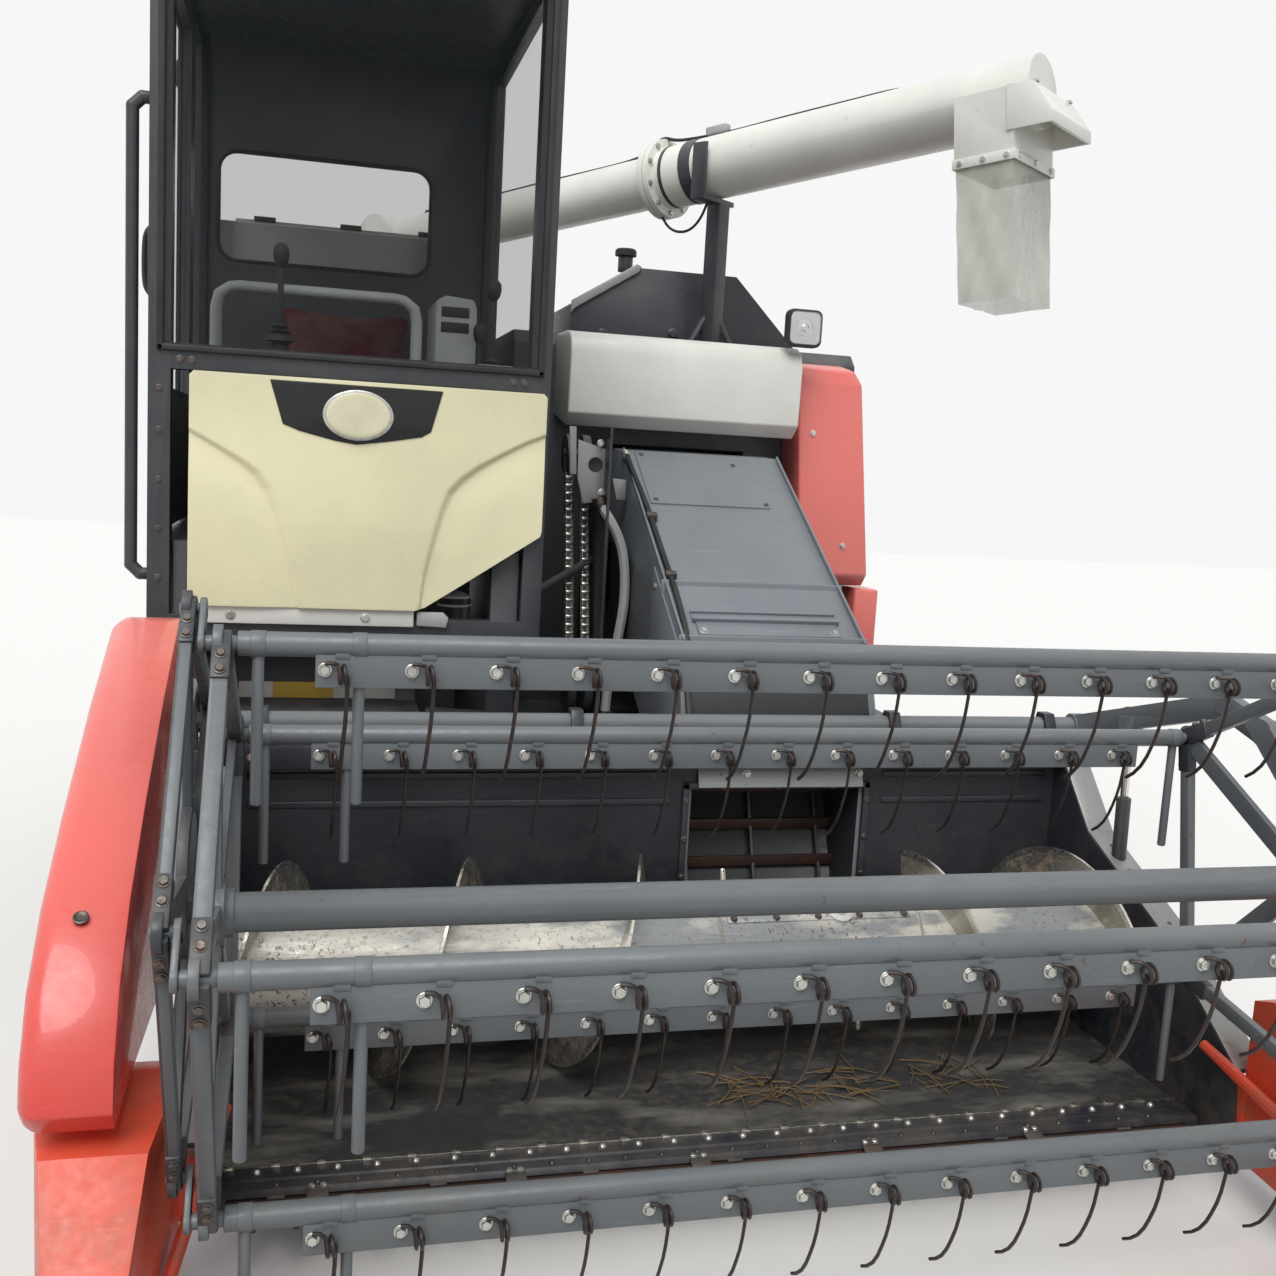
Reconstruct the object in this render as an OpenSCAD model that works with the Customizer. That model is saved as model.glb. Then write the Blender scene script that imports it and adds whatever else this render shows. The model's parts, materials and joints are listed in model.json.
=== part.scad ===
// Rubber-tracked combine harvester with a 2.2 m grain header, reel, cab, tank and unloading auger.
// Millimetres. The front of the machine faces -Y, +Z is up and z = 0 is the ground.
// X runs to the machine's own left. Profiles are given as [y, z] points and swept along X.

/* [Tracks] */
// Centre line between the two tracks
mid_x = -135; // [-160:5:-110]
// Half the distance between the middles of the tracks
track_half_gauge = 592; // [570:2:610]
// Width of one rubber track
track_w = 500; // [440:5:520]
// Thickness of the rubber belt
belt_t = 30; // [22:1:36]
// Height of a tread lug
lug_h = 25; // [18:1:32]
// Lugs round one half of the track
lug_count = 46; // [40:1:50]
// Radius of the bottom rollers
roller_r = 95; // [80:1:98]
// Number of bottom rollers on a track
roller_count = 5; // [4:1:6]
// Radius of the drive sprocket at the belt
sprocket_r = 205; // [190:1:215]
// Height of the drive sprocket's axle
sprocket_z = 405; // [390:1:415]
// Radius of the rear idler
idler_r = 220; // [200:1:230]

/* [Chassis] */
// Height of the deck that carries the bodies
deck_z = 760; // [745:1:775]
// Height of the main frame rails
rail_h = 110; // [90:2:120]

/* [Cab] */
// Outer width of the cab
cab_w = 983; // [940:1:1000]
// Right side of the cab, seen from the driver's seat
cab_x = -1367; // [-1375:1:-1355]
// Front face of the windscreen
cab_y = -675; // [-690:1:-660]
// Depth of the cab
cab_d = 1150; // [1100:5:1180]
// Height of the cab's floor
cab_floor_z = 1290; // [1270:2:1310]
// Height of the sill under the windscreen
sill_z = 1770; // [1740:2:1790]
// Underside of the roof
roof_z = 2790; // [2760:2:2820]
// Thickness of the roof
roof_t = 110; // [90:2:130]
// Thickness of a cab post
post_t = 52; // [44:1:60]
// Thickness of the glass
glass_t = 6; // [5:1:10]
// Height of the cream front panel
panel_h = 570; // [540:2:590]

/* [Grain tank] */
// Top of the grain tank
tank_z = 2250; // [2150:5:2280]
// Length of the grain tank
tank_d = 1175; // [1100:5:1200]

/* [Thresher] */
// Top of the thresher body
thresher_z = 1960; // [1940:2:1980]
// Width of the thresher body
thresher_w = 1210; // [1180:2:1220]
// Rear of the thresher body
thresher_rear_y = 2325; // [2300:5:2340]
// Top of the cover over the separator
top_cover_z = 2260; // [2200:5:2280]

/* [Feeder house] */
// Height of the feeder's pivot
feeder_pivot_z = 1330; // [1320:1:1340]
// Width of the feeder house
feeder_w = 510; // [480:2:516]

/* [Header] */
// Middle of the header
header_x = -65; // [-75:1:-55]
// Width between the header's side plates
header_w = 2150; // [2140:1:2156]
// Thickness of the header's plates
plate_t = 6; // [4:1:8]
// Height of the header's back wall
header_top_z = 800; // [780:2:815]
// Height of the knife
knife_z = 126; // [120:1:130]
// Fore and aft place of the knife's edge
knife_y = -1705; // [-1715:1:-1700]
// Spacing of the knife sections
knife_pitch = 76.2; // [70:0.1:80]

/* [Header auger] */
// Radius of the auger's flights
auger_r = 240; // [225:1:244]
// Radius of the auger's drum
auger_drum_r = 140; // [120:1:150]
// Gap between the flights and the trough
auger_gap = 15; // [13:1:17]
// Height of the auger's axis
auger_z = 392; // [390:1:396]
// Fore and aft place of the auger's axis
auger_y = -1215; // [-1215:1:-1200]

/* [Reel] */
// Radius from the reel's shaft to its bars
reel_r = 450; // [440:1:456]
// Fore and aft place of the reel's shaft
reel_y = -1975; // [-1985:1:-1970]
// Height of the reel's shaft
reel_z = 800; // [798:1:810]
// Number of tines on a bar
tine_count = 14; // [12:1:15]
// Spacing of the tines
tine_pitch = 131; // [115:1:133]
// Drop of a tine below its bar
tine_drop = 232; // [200:1:236]
// Rearward curl of a tine's tip
tine_curl = 68; // [50:1:72]
// Thickness of a tine
tine_d = 8; // [6:1:9]
// Outer diameter of a bar's tube
bar_d = 38; // [34:1:42]
// Outer diameter of the reel's centre tube
shaft_d = 64; // [56:1:76]

/* [Unloading auger] */
// Radius of the outer pipe
pipe_r = 110; // [100:1:112]
// Length from the column to the end of the pipe
pipe_len = 3000; // [2900:10:3020]
// Height of the pipe's axis over the column
pipe_z = 2450; // [2440:2:2470]
// Length of the clear plastic spout
curtain_len = 430; // [380:5:460]

/* [Hidden] */
$fn = 40;

// Colours, as the photo shows them
charcoal = [0.18, 0.19, 0.22];
mid_grey = [0.42, 0.44, 0.46];
cream = [0.91, 0.88, 0.71];
off_white = [0.86, 0.85, 0.79];
faded_red = [0.90, 0.38, 0.34];
orange_red = [0.92, 0.30, 0.20];
rubber = [0.09, 0.09, 0.09];
steel = [0.55, 0.54, 0.50];
rusty = [0.26, 0.17, 0.13];
clear_glass = [0.35, 0.42, 0.45];
chrome = [0.78, 0.78, 0.80];

seat_gap = 0.3;
run_gap = 1;

// Places of the header and reel arms that other pieces share
header_x0 = header_x - header_w / 2;
header_x1 = header_x + header_w / 2;
trough_r = auger_r + auger_gap;
header_back_y = auger_y + trough_r;
floor_front_y = knife_y + 45;
floor_front_z = knife_z + 6;
trough_bottom_z = auger_z - trough_r;
left_arm_x = header_x0 - 50;
right_arm_x = header_x1 + 36;
arm_w = 28;

// A [y, z] outline swept along X from x0 to x1
module sweep_x(outline, x0, x1) {
    translate([x0, 0, 0]) rotate([90, 0, 90]) linear_extrude(x1 - x0) polygon(outline);
}

// Every piece is drawn from the drawing's own middle line and then moved, so that the
// origin lies under the middle of the whole machine
origin_shift = 42;
module seated() {
    translate([origin_shift, 0, 0]) children();
}

// A box from one corner to the other
module box(lo, hi) {
    translate(lo) cube(hi - lo);
}

// A round bar along X
module bar_x(x0, x1, y, z, r) {
    translate([x0, y, z]) rotate([0, 90, 0]) cylinder(r = r, h = x1 - x0);
}

// A round bar from point p to point q
module rod(p, q, r, sides = 24) {
    v = q - p;
    flat = norm([v[0], v[1]]);
    translate(p) rotate([0, atan2(flat, v[2]), atan2(v[1], v[0])])
        cylinder(r = r, h = norm(v), $fn = sides);
}

// A chain of round bars through a list of points
module bent_rod(points, r, sides = 24) {
    for (i = [0 : len(points) - 2]) rod(points[i], points[i + 1], r, sides);
    if (len(points) > 2) for (i = [1 : len(points) - 2])
        translate(points[i]) sphere(r = r + 0.5, $fn = 24);
}

function sum_to(v, n) = n <= 0 ? 0 : v[n - 1] + sum_to(v, n - 1);

// Tracks
// Wheels that the belt wraps, in order: y, z and outer belt radius
front_roller_y = -220;
idler_y = 1360;
sprocket_y = -480;
wraps = [[front_roller_y, lug_h + belt_t + roller_r, roller_r + belt_t],
         [idler_y, lug_h + belt_t + idler_r, idler_r + belt_t],
         [sprocket_y, sprocket_z, sprocket_r + belt_t]];
wrap_n = len(wraps);
function wrap(i) = wraps[(i + wrap_n) % wrap_n];
// Direction in which the straight run after wheel i faces outwards
function face_angle(i) = let (a = wrap(i), b = wrap(i + 1), d = norm([b[0] - a[0], b[1] - a[1]]))
    atan2(b[1] - a[1], b[0] - a[0]) - acos((a[2] - b[2]) / d);
function turn(i) = let (a = face_angle(i) - face_angle(i - 1)) a < 0 ? a + 360 : a;
function run_len(i) = let (a = wrap(i), b = wrap(i + 1), d = norm([b[0] - a[0], b[1] - a[1]]))
    sqrt(d * d - (a[2] - b[2]) * (a[2] - b[2]));
stretches = [for (i = [0 : wrap_n - 1]) for (part = [0, 1])
    part == 0 ? turn(i) * PI / 180 * wrap(i)[2] : run_len(i)];
loop_len = sum_to(stretches, len(stretches));
// Point at distance s round the belt and height h over its outer face
function loop_point(s, h) = let (
    w = s - loop_len * floor(s / loop_len),
    k = [for (j = [0 : len(stretches) - 1]) if (w >= sum_to(stretches, j)) j],
    j = k[len(k) - 1], i = floor(j / 2), c = wrap(i), rest = w - sum_to(stretches, j),
    on_arc = j % 2 == 0,
    a = on_arc ? face_angle(i - 1) + rest / c[2] * 180 / PI : face_angle(i),
    along = on_arc ? 0 : rest)
    [c[0] + (c[2] + h) * cos(a) - along * sin(a), c[1] + (c[2] + h) * sin(a) + along * cos(a)];
lug_pitch = loop_len / lug_count;
lug_foot = 0.30;
lug_top = 0.17;
// One outline of the loop with its lugs, shifted by a share of the pitch
function lug_outline(shift) = [for (k = [0 : lug_count - 1])
    for (e = [[-lug_foot, 0], [-lug_top, lug_h], [lug_top, lug_h], [lug_foot, 0]])
    loop_point((k + shift + e[0]) * lug_pitch, e[1])];
function inner_outline() = [for (k = [0 : lug_count - 1]) for (e = [0, 0.25, 0.5, 0.75])
    loop_point((k + e) * lug_pitch, -belt_t)];

module track(x) {
    color(rubber) difference() {
        union() {
            sweep_x(lug_outline(0), x - track_w / 2, x + 5);
            sweep_x(lug_outline(0.5), x - 5, x + track_w / 2);
        }
        sweep_x(inner_outline(), x - track_w / 2 - 1, x + track_w / 2 + 1);
    }
}

module track_left() { track(mid_x + track_half_gauge); }
module track_right() { track(mid_x - track_half_gauge); }

// Rollers, idler, sprocket and side beam of each track
beam_z0 = 200;
beam_z1 = 320;
carrier_y = 430;
carrier_r = 55;
wheel_w = 230;
chord_gap = 2;
function belt_top_at(y) = let (a = wrap(2), b = wrap(1), t = (y - a[0]) / (b[0] - a[0]))
    (a[1] + a[2]) + t * ((b[1] + b[2]) - (a[1] + a[2]));

module wheel(x, y, z, r, w) {
    bar_x(x - w / 2, x + w / 2, y, z, r);
}

module sprocket(x) {
    teeth = 10;
    r = sprocket_r - chord_gap;
    outline = [for (k = [0 : teeth - 1]) for (e = [[0, r - 32], [0.16, r], [0.34, r], [0.5, r - 32]])
        [sprocket_y + e[1] * cos((k + e[0]) * 360 / teeth),
         sprocket_z + e[1] * sin((k + e[0]) * 360 / teeth)]];
    sweep_x(outline, x - 30, x + 30);
    bar_x(x - 75, x + 75, sprocket_y, sprocket_z, 85);
}

module track_frame(x) {
    sweep_x([[front_roller_y - 60, beam_z0], [front_roller_y - 60, beam_z1 - 40],
             [front_roller_y, beam_z1], [idler_y - 60, beam_z1], [idler_y + 50, beam_z1 - 20],
             [idler_y + 50, beam_z0]], x - 55, x + 55);
    step = (idler_y - idler_r - roller_r - 30 - front_roller_y) / (roller_count - 1);
    for (i = [0 : roller_count - 1])
        wheel(x, front_roller_y + i * step, wraps[0][1], roller_r - chord_gap, wheel_w);
    wheel(x, idler_y, wraps[1][1], idler_r - chord_gap, 120);
    carrier_z = belt_top_at(carrier_y) - belt_t - carrier_r - chord_gap * 2;
    wheel(x, carrier_y, carrier_z, carrier_r, wheel_w);
    box([x - 40, carrier_y - 30, beam_z1 - 5], [x + 40, carrier_y + 30, carrier_z - carrier_r + 8]);
    sprocket(x);
}

module track_frames() {
    color(charcoal) {
        track_frame(mid_x - track_half_gauge);
        track_frame(mid_x + track_half_gauge);
    }
}

// Chassis
rail_x = 250;
rail_t = 80;
rail_z = deck_z - 80 - rail_h;
cross_ys = [-480, 60, 640, 1260, 1880, 2160];
cab_deck_y = cab_y + 10;
cab_deck_x1 = mid_x - 200;
hanger_ys = [180, 900];
frame_front_y = -520;
shelf_x0 = -1185;
shelf_x1 = -684;
shelf_y = -430;
shelf_z = 851;
body_x0 = cab_x + 80;
thresher_x1 = 910;
frame_x1 = thresher_x1 - 10;

module chassis_frame() {
    color(charcoal) {
        for (s = [-1, 1]) box([mid_x + s * rail_x - rail_t / 2, cab_deck_y, rail_z],
            [mid_x + s * rail_x + rail_t / 2, 2240, rail_z + rail_h]);
        difference() {
            union() {
                for (y = cross_ys) box([body_x0, y - 40, deck_z - 80], [frame_x1, y + 40, deck_z - 10]);
                box([body_x0, frame_front_y, deck_z - 12], [frame_x1, 2200, deck_z]);
                box([body_x0, cab_deck_y, deck_z - 12], [cab_deck_x1, frame_front_y + 1, deck_z]);
                box([body_x0, cab_deck_y, deck_z - 80], [cab_deck_x1, cab_deck_y + 60, deck_z - 10]);
                box([shelf_x0, cab_deck_y, shelf_z - 40], [shelf_x1, shelf_y + 6, shelf_z]);
                box([shelf_x0, shelf_y, deck_z - 2], [shelf_x1, shelf_y + 6, shelf_z + 150]);
                for (x = [shelf_x0, shelf_x1 - 8]) box([x, cab_deck_y, deck_z - 2], [x + 8, shelf_y + 6, shelf_z - 1]);
            }
            box([lift_x - 58, frame_front_y - 1, deck_z - 90], [lift_x + 58, -60, deck_z + 1]);
        }
        for (y = hanger_ys) {
            box([mid_x - track_half_gauge - 50, y - 45, beam_z1], [mid_x + track_half_gauge + 50, y + 45, beam_z1 + 90]);
            for (s = [-1, 1]) box([mid_x + s * rail_x - 30, y - 45, beam_z1 + 80],
                [mid_x + s * rail_x + 30, y + 45, rail_z + 10]);
        }
        box([mid_x - 170, sprocket_y - 110, sprocket_z - 130], [mid_x + 170, sprocket_y + 130, rail_z + 20]);
        box([mid_x - rail_x, sprocket_y - 40, rail_z], [mid_x + rail_x, sprocket_y + 60, rail_z + 40]);
        bar_x(mid_x - track_half_gauge + 75.3, mid_x + track_half_gauge - 75.3, sprocket_y, sprocket_z, 70);
        feeder_brackets();
        lift_bracket();
        column_foot();
        rear_hitch();
    }
}

// Towing clevis between the rails and a lashing eye behind each rail
frame_rear_y = 2240;
hitch_y = frame_rear_y + 60;
hitch_r = 14;
lash_r = 15;
lash_z = rail_z + 45;
module rear_hitch() {
    box([mid_x - rail_x, frame_rear_y - 70, rail_z], [mid_x + rail_x, frame_rear_y, rail_z + 90]);
    for (z = [rail_z + 10, rail_z + 60]) difference() {
        box([mid_x - 40, frame_rear_y - 5, z], [mid_x + 40, hitch_y + 35, z + 14]);
        translate([mid_x, hitch_y, z - 1]) cylinder(r = hitch_r, h = 16);
    }
    for (s = [-1, 1]) difference() {
        box([mid_x + s * rail_x - 7, frame_rear_y - 5, lash_z - 32], [mid_x + s * rail_x + 7, frame_rear_y + 60, lash_z + 32]);
        bar_x(mid_x + s * rail_x - 8, mid_x + s * rail_x + 8, frame_rear_y + 30, lash_z, lash_r);
    }
}

// Feeder house and its pivot
feeder_x = 210;
feeder_y = 75;
pivot_r = 30;
feeder_x0 = feeder_x - feeder_w / 2;
feeder_x1 = feeder_x + feeder_w / 2;
bracket_t = 20;
bracket_gap = 6;
module feeder_brackets() {
    for (x = [feeder_x0 - bracket_gap - bracket_t, feeder_x1 + bracket_gap]) difference() {
        sweep_x([[feeder_y - 60, deck_z - 5], [feeder_y - 60, feeder_pivot_z + 20],
                 [feeder_y - 30, feeder_pivot_z + 60], [feeder_y + 30, feeder_pivot_z + 60],
                 [feeder_y + 60, feeder_pivot_z + 20], [feeder_y + 160, deck_z - 5]],
                x, x + bracket_t);
        bar_x(x - 1, x + bracket_t + 1, feeder_y, feeder_pivot_z, pivot_r + run_gap);
    }
}

feeder_front_y = header_back_y + plate_t + seat_gap;
feeder_outline = [[feeder_front_y, 300], [feeder_front_y, 880], [-875, 1090], [-75, 1580],
                  [feeder_y - 40, 1585], [feeder_y + 290, 1500], [feeder_y + 290, 1180],
                  [feeder_y + 20, 1100], [-60, 1060], [-690, 702.4], [-866, 300]];
mouth_depth = 300;
// Inside of the mouth: its floor runs over the flared underside
mouth_outline = [[feeder_front_y - 1, 330], [feeder_front_y - 1, 850],
                 [feeder_front_y + mouth_depth, 980], [feeder_front_y + mouth_depth, 737],
                 [-690, 714.5], [-858, 330]];
module feeder_house() {
    color(mid_grey) {
        difference() {
            sweep_x(feeder_outline, feeder_x0, feeder_x1);
            sweep_x(mouth_outline, feeder_x0 + 25, feeder_x1 - 25);
        }
        bar_x(feeder_x0 - bracket_gap - bracket_t - 5, feeder_x1 + bracket_gap + bracket_t + 5,
              feeder_y, feeder_pivot_z, pivot_r);
        for (y = [-860, -660]) box([feeder_x0 - 8, y - 4, 1090 + (y + 875) * 0.6125 - 30],
            [feeder_x1 + 8, y + 4, 1090 + (y + 875) * 0.6125 + 14]);
        feeder_lug();
    }
}

// Header lift cylinder: fixed eye on the frame, free eye under the feeder house
lift_x = 15;
lift_base = [lift_x, 40, 600];
lift_eye = [lift_x, -480, 690];
eye_r = 14;
lift_dir = (lift_eye - lift_base) / norm(lift_eye - lift_base);
module feeder_lug() {
    for (s = [-1, 1]) {
        sweep_x([[lift_eye[1] - 70, 781], [lift_eye[1] + 70, 861], [lift_eye[1] + 24, lift_eye[2] - 16],
                 [lift_eye[1], lift_eye[2] - 28], [lift_eye[1] - 24, lift_eye[2] - 16]],
                lift_x + s * 34 - 7, lift_x + s * 34 + 7);
        bar_x(lift_x + s * 42 - 6, lift_x + s * 42 + 6, lift_eye[1], lift_eye[2], eye_r);
    }
}
module lift_bracket() {
    for (s = [-1, 1]) difference() {
        sweep_x([[lift_base[1] - 30, lift_base[2]], [lift_base[1] - 18, rail_z + rail_h + 5],
                 [lift_base[1] + 60, rail_z + rail_h + 5], [lift_base[1] + 30, lift_base[2] - 20],
                 [lift_base[1], lift_base[2] - 32]],
                lift_x + s * 45 - 7, lift_x + s * 45 + 7);
        bar_x(lift_x + s * 45 - 8, lift_x + s * 45 + 8, lift_base[1], lift_base[2], eye_r + run_gap);
    }
}

// Barrel of a cylinder from its base eye towards the rod's eye, with its pin through
module barrel(base, dir, len, r, pin_half, x_clear) {
    difference() {
        union() {
            rod(base, base + dir * len, r);
            bar_x(base[0] - x_clear, base[0] + x_clear, base[1], base[2], r * 0.9);
            bar_x(base[0] - pin_half, base[0] + pin_half, base[1], base[2], eye_r);
        }
        rod(base + dir * (r + 12), base + dir * (len + 1), rod_bore(r));
    }
}
function rod_bore(r) = r * 0.62;
module piston(base, dir, from, eye, r, x_clear) {
    rod(base + dir * from, eye, rod_bore(r) - run_gap);
    bar_x(eye[0] - x_clear, eye[0] + x_clear, eye[1], eye[2], r * 0.8);
}

lift_barrel_r = 34;
module header_barrel() {
    color(charcoal) barrel(lift_base, lift_dir, 430, lift_barrel_r, 55, 34);
}
module header_rod() {
    color(chrome) piston(lift_base, lift_dir, 70, lift_eye, lift_barrel_r, 22);
}

// Header shell
mouth_x0 = feeder_x0 + 15;
mouth_x1 = feeder_x1 - 15;
// Outline of the side plates, from the knife round the rear to the front corner
side_outline = [[knife_y - 10, knife_z - 30], [auger_y, trough_bottom_z - 22],
                [auger_y + 170, trough_bottom_z + 30], [header_back_y + plate_t, auger_z - 90],
                [header_back_y + plate_t, header_top_z], [-1010, header_top_z],
                [-1145, 653], [-1487, 500], [-1775, 300], [-1790, 170]];
// Inside of the floor and trough: front edge, arc under the auger, up the back wall
trough_steps = 12;
floor_line = concat([[floor_front_y, floor_front_z + plate_t]],
    [for (k = [0 : trough_steps]) let (a = -100 + k * 100 / trough_steps)
        [auger_y + trough_r * cos(a), auger_z + trough_r * sin(a)]],
    [[header_back_y, header_top_z]]);
shell_line = concat([[header_back_y + plate_t, header_top_z]],
    [for (k = [trough_steps : -1 : 0]) let (a = -100 + k * 100 / trough_steps)
        [auger_y + (trough_r + plate_t) * cos(a), auger_z + (trough_r + plate_t) * sin(a)]],
    [[floor_front_y, floor_front_z]]);

module header_shell() {
    color(charcoal) difference() {
        union() {
            sweep_x(concat(floor_line, shell_line), header_x0 - 1, header_x1 + 1);
            for (x = [header_x0 - plate_t, header_x1]) sweep_x(side_outline, x, x + plate_t);
            sweep_x([[-1010, header_top_z - 3], [header_back_y + plate_t, header_top_z - 3],
                     [header_back_y + plate_t, header_top_z + 50], [-1010, header_top_z + 50]],
                    header_x0 - 70, header_x1 + 60);
            side_flange(header_x1, header_x1 + flange_w);
            side_flange(header_x0 - flange_w, header_x0);
            tube_bearings();
            reel_cylinder_feet();
        }
        box([mouth_x0, header_back_y - 2, 330], [mouth_x1, header_back_y + plate_t + 2, 730]);
        for (x = [header_x0 - plate_t - 1, header_x1 - 1])
            bar_x(x, x + plate_t + 2, auger_y, auger_z, stub_r + run_gap);
        for (x = [left_arm_x, right_arm_x]) rod([x, reel_cyl_y, reel_cyl_z], [x, reel_eye_y, reel_cyl_z + 150],
            reel_barrel_r + 9);
    }
}

// Turned-out flange along the top of a side plate
flange_w = 76;
module side_flange(x0, x1) {
    sweep_x([[-1145, 653], [-1487, 500], [-1775, 300], [-1775, 294], [-1487, 494], [-1145, 647]],
            x0, x1);
    sweep_x([[-1010, header_top_z], [-1145, 653], [-1145, 647], [-1004, header_top_z]], x0, x1);
}

// Reel arms turn in these blocks on top of the header's back beam
arm_y = -985;
arm_z = 905;
tube_r = 24;
bearing_xs = [header_x0 + 60, -340, 500, header_x1 - 60];
module tube_bearings() {
    for (x = bearing_xs) difference() {
        sweep_x([[arm_y - 20, header_top_z + 48], [arm_y - 38, arm_z], [arm_y - 20, arm_z + 36],
                 [arm_y + 15, arm_z + 36], [header_back_y + plate_t, arm_z],
                 [header_back_y + plate_t, header_top_z + 48]],
                x - 15, x + 15);
        bar_x(x - 16, x + 16, arm_y, arm_z, tube_r + run_gap);
    }
}

// Reel lift cylinders stand between the side flanges and the reel arms
reel_cyl_y = -1235;
reel_cyl_z = 560;
reel_eye_y = -1225;
reel_eye_z = 925;
foot_drop = 60;
reel_barrel_r = 18;
module reel_cylinder_feet() {
    reel_foot(left_arm_x, header_x0 - plate_t + 1);
    reel_foot(right_arm_x, header_x1 + plate_t - 1);
}
module reel_foot(x, plate_x) {
    for (e = [-26, 20]) difference() {
        sweep_x([[reel_cyl_y - 45, reel_cyl_z - foot_drop], [reel_cyl_y - 25, reel_cyl_z + 25],
                 [reel_cyl_y + 25, reel_cyl_z + 25], [reel_cyl_y + 45, reel_cyl_z - foot_drop]],
                x + e, x + e + 6);
        bar_x(x + e - 1, x + e + 7, reel_cyl_y, reel_cyl_z, eye_r + run_gap);
    }
    box([min(x - 26, plate_x), reel_cyl_y - 45, reel_cyl_z - foot_drop - 8],
        [max(x + 26, plate_x), reel_cyl_y + 45, reel_cyl_z - foot_drop + 2]);
}

// Cutterbar: base strip, pointed guards and hold-down clips
section_n = floor((header_w - 30) / knife_pitch);
first_section_x = header_x - (section_n - 1) * knife_pitch / 2;
guard_t = 8;
section_t = 3;
module cutterbar() {
    color(charcoal) {
        sweep_x([[knife_y + 30, knife_z - 22], [floor_front_y + 40, knife_z - 22],
                 [floor_front_y + 40, knife_z - 4], [knife_y + 30, knife_z - 4]],
                header_x0 + seat_gap, header_x1 - seat_gap);
        for (k = [0 : section_n - 1]) guard(first_section_x + k * knife_pitch);
        for (k = [1 : 4 : section_n - 1]) clip(first_section_x + (k - 0.5) * knife_pitch);
        sweep_x([[floor_front_y - 16, knife_z - 5], [floor_front_y - seat_gap, knife_z - 5],
                 [floor_front_y - seat_gap, knife_z + section_t + 6],
                 [floor_front_y - 16, knife_z + section_t + 6]],
                header_x0 + seat_gap, header_x1 - seat_gap);
    }
}
module guard(x) {
    translate([0, 0, knife_z - 4 - guard_t]) linear_extrude(guard_t) polygon([
        [x - 24, knife_y + 40], [x + 24, knife_y + 40], [x + 17, knife_y - 5],
        [x + 4, knife_y - 62], [x - 4, knife_y - 62], [x - 17, knife_y - 5]]);
}
module clip(x) {
    box([x - 16, knife_y + 16, knife_z + section_t + 1], [x + 16, floor_front_y - 10, knife_z + section_t + 6]);
}

// Knife: back strip and triangular sections
module knife() {
    color(rusty) {
        box([header_x0 + 32, knife_y + 8, knife_z - 3], [header_x1 - 32, knife_y + 28, knife_z + 0.2]);
        translate([0, 0, knife_z - 0.2]) linear_extrude(section_t)
            for (k = [0 : section_n - 1]) section_plan(first_section_x + (k + 0.0) * knife_pitch);
    }
}
module section_plan(x) {
    half = knife_pitch / 2 - 1;
    polygon([[x - half, knife_y + 27], [x + half, knife_y + 27], [x + half, knife_y + 8],
             [x + 7, knife_y - 50], [x - 7, knife_y - 50], [x - half, knife_y + 8]]);
}

// Dividers in front of both side plates, with their inner rods
divider_tip_y = -2535;
divider_w = 128;
module divider(x0, x1, tip_x) {
    intersection() {
        sweep_x([[-1792, 110], [-1792, 470], [-1900, 506], [-2140, 490], [divider_tip_y, 90],
                 [divider_tip_y, 70], [-2330, 75]], x0, x1);
        translate([0, 0, 50]) linear_extrude(500) polygon([
            [x0, -1710], [x1, -1710], [x1, -2000], [tip_x + 12, divider_tip_y],
            [tip_x - 12, divider_tip_y], [x0, -2000]]);
    }
}
module dividers() {
    color(orange_red) {
        divider(cover_x0, header_x0 - 42, header_x0 - 110);
        divider(header_x1 + plate_t + 5, header_x1 + 5 + divider_w, header_x1 + 60);
        box([header_x0 - 50, -1800, 170], [header_x0 - plate_t - seat_gap, -1730, 270]);
        box([header_x1 + plate_t + seat_gap, -1800, 170], [header_x1 + 30, -1730, 270]);
        rod([header_x1 - 30, -1700, 330], [header_x1 + 50, -2420, 120], 11);
        rod([header_x0 + 30, -1700, 330], [header_x0 - 100, -2440, 120], 11);
    }
}

// Long rounded drive cover on the right-hand side of the header
cover_w = 136;
cover_x1 = header_x0 - 104;
cover_x0 = cover_x1 - cover_w;
cover_outline = [[-1050, 1090], [-1080, 1140], [-1130, 1160], [-1194, 1160],
                 [-1480, 1052], [-1767, 925], [-1960, 825], [-2080, 730], [-2140, 630],
                 [-2153, 545], [-2146, 532], [-2130, 525], [-1980, 525], [-1500, 480], [-1050, 560]];
module header_cover() {
    color(faded_red) {
        sweep_x(cover_outline, cover_x0, cover_x1);
        for (p = [[-1380, 500], [-1100, 565]])
            box([cover_x1 - 1, p[0] - 20, p[1]], [header_x0 - plate_t - seat_gap, p[0] + 20, p[1] + 20]);
    }
}

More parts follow.
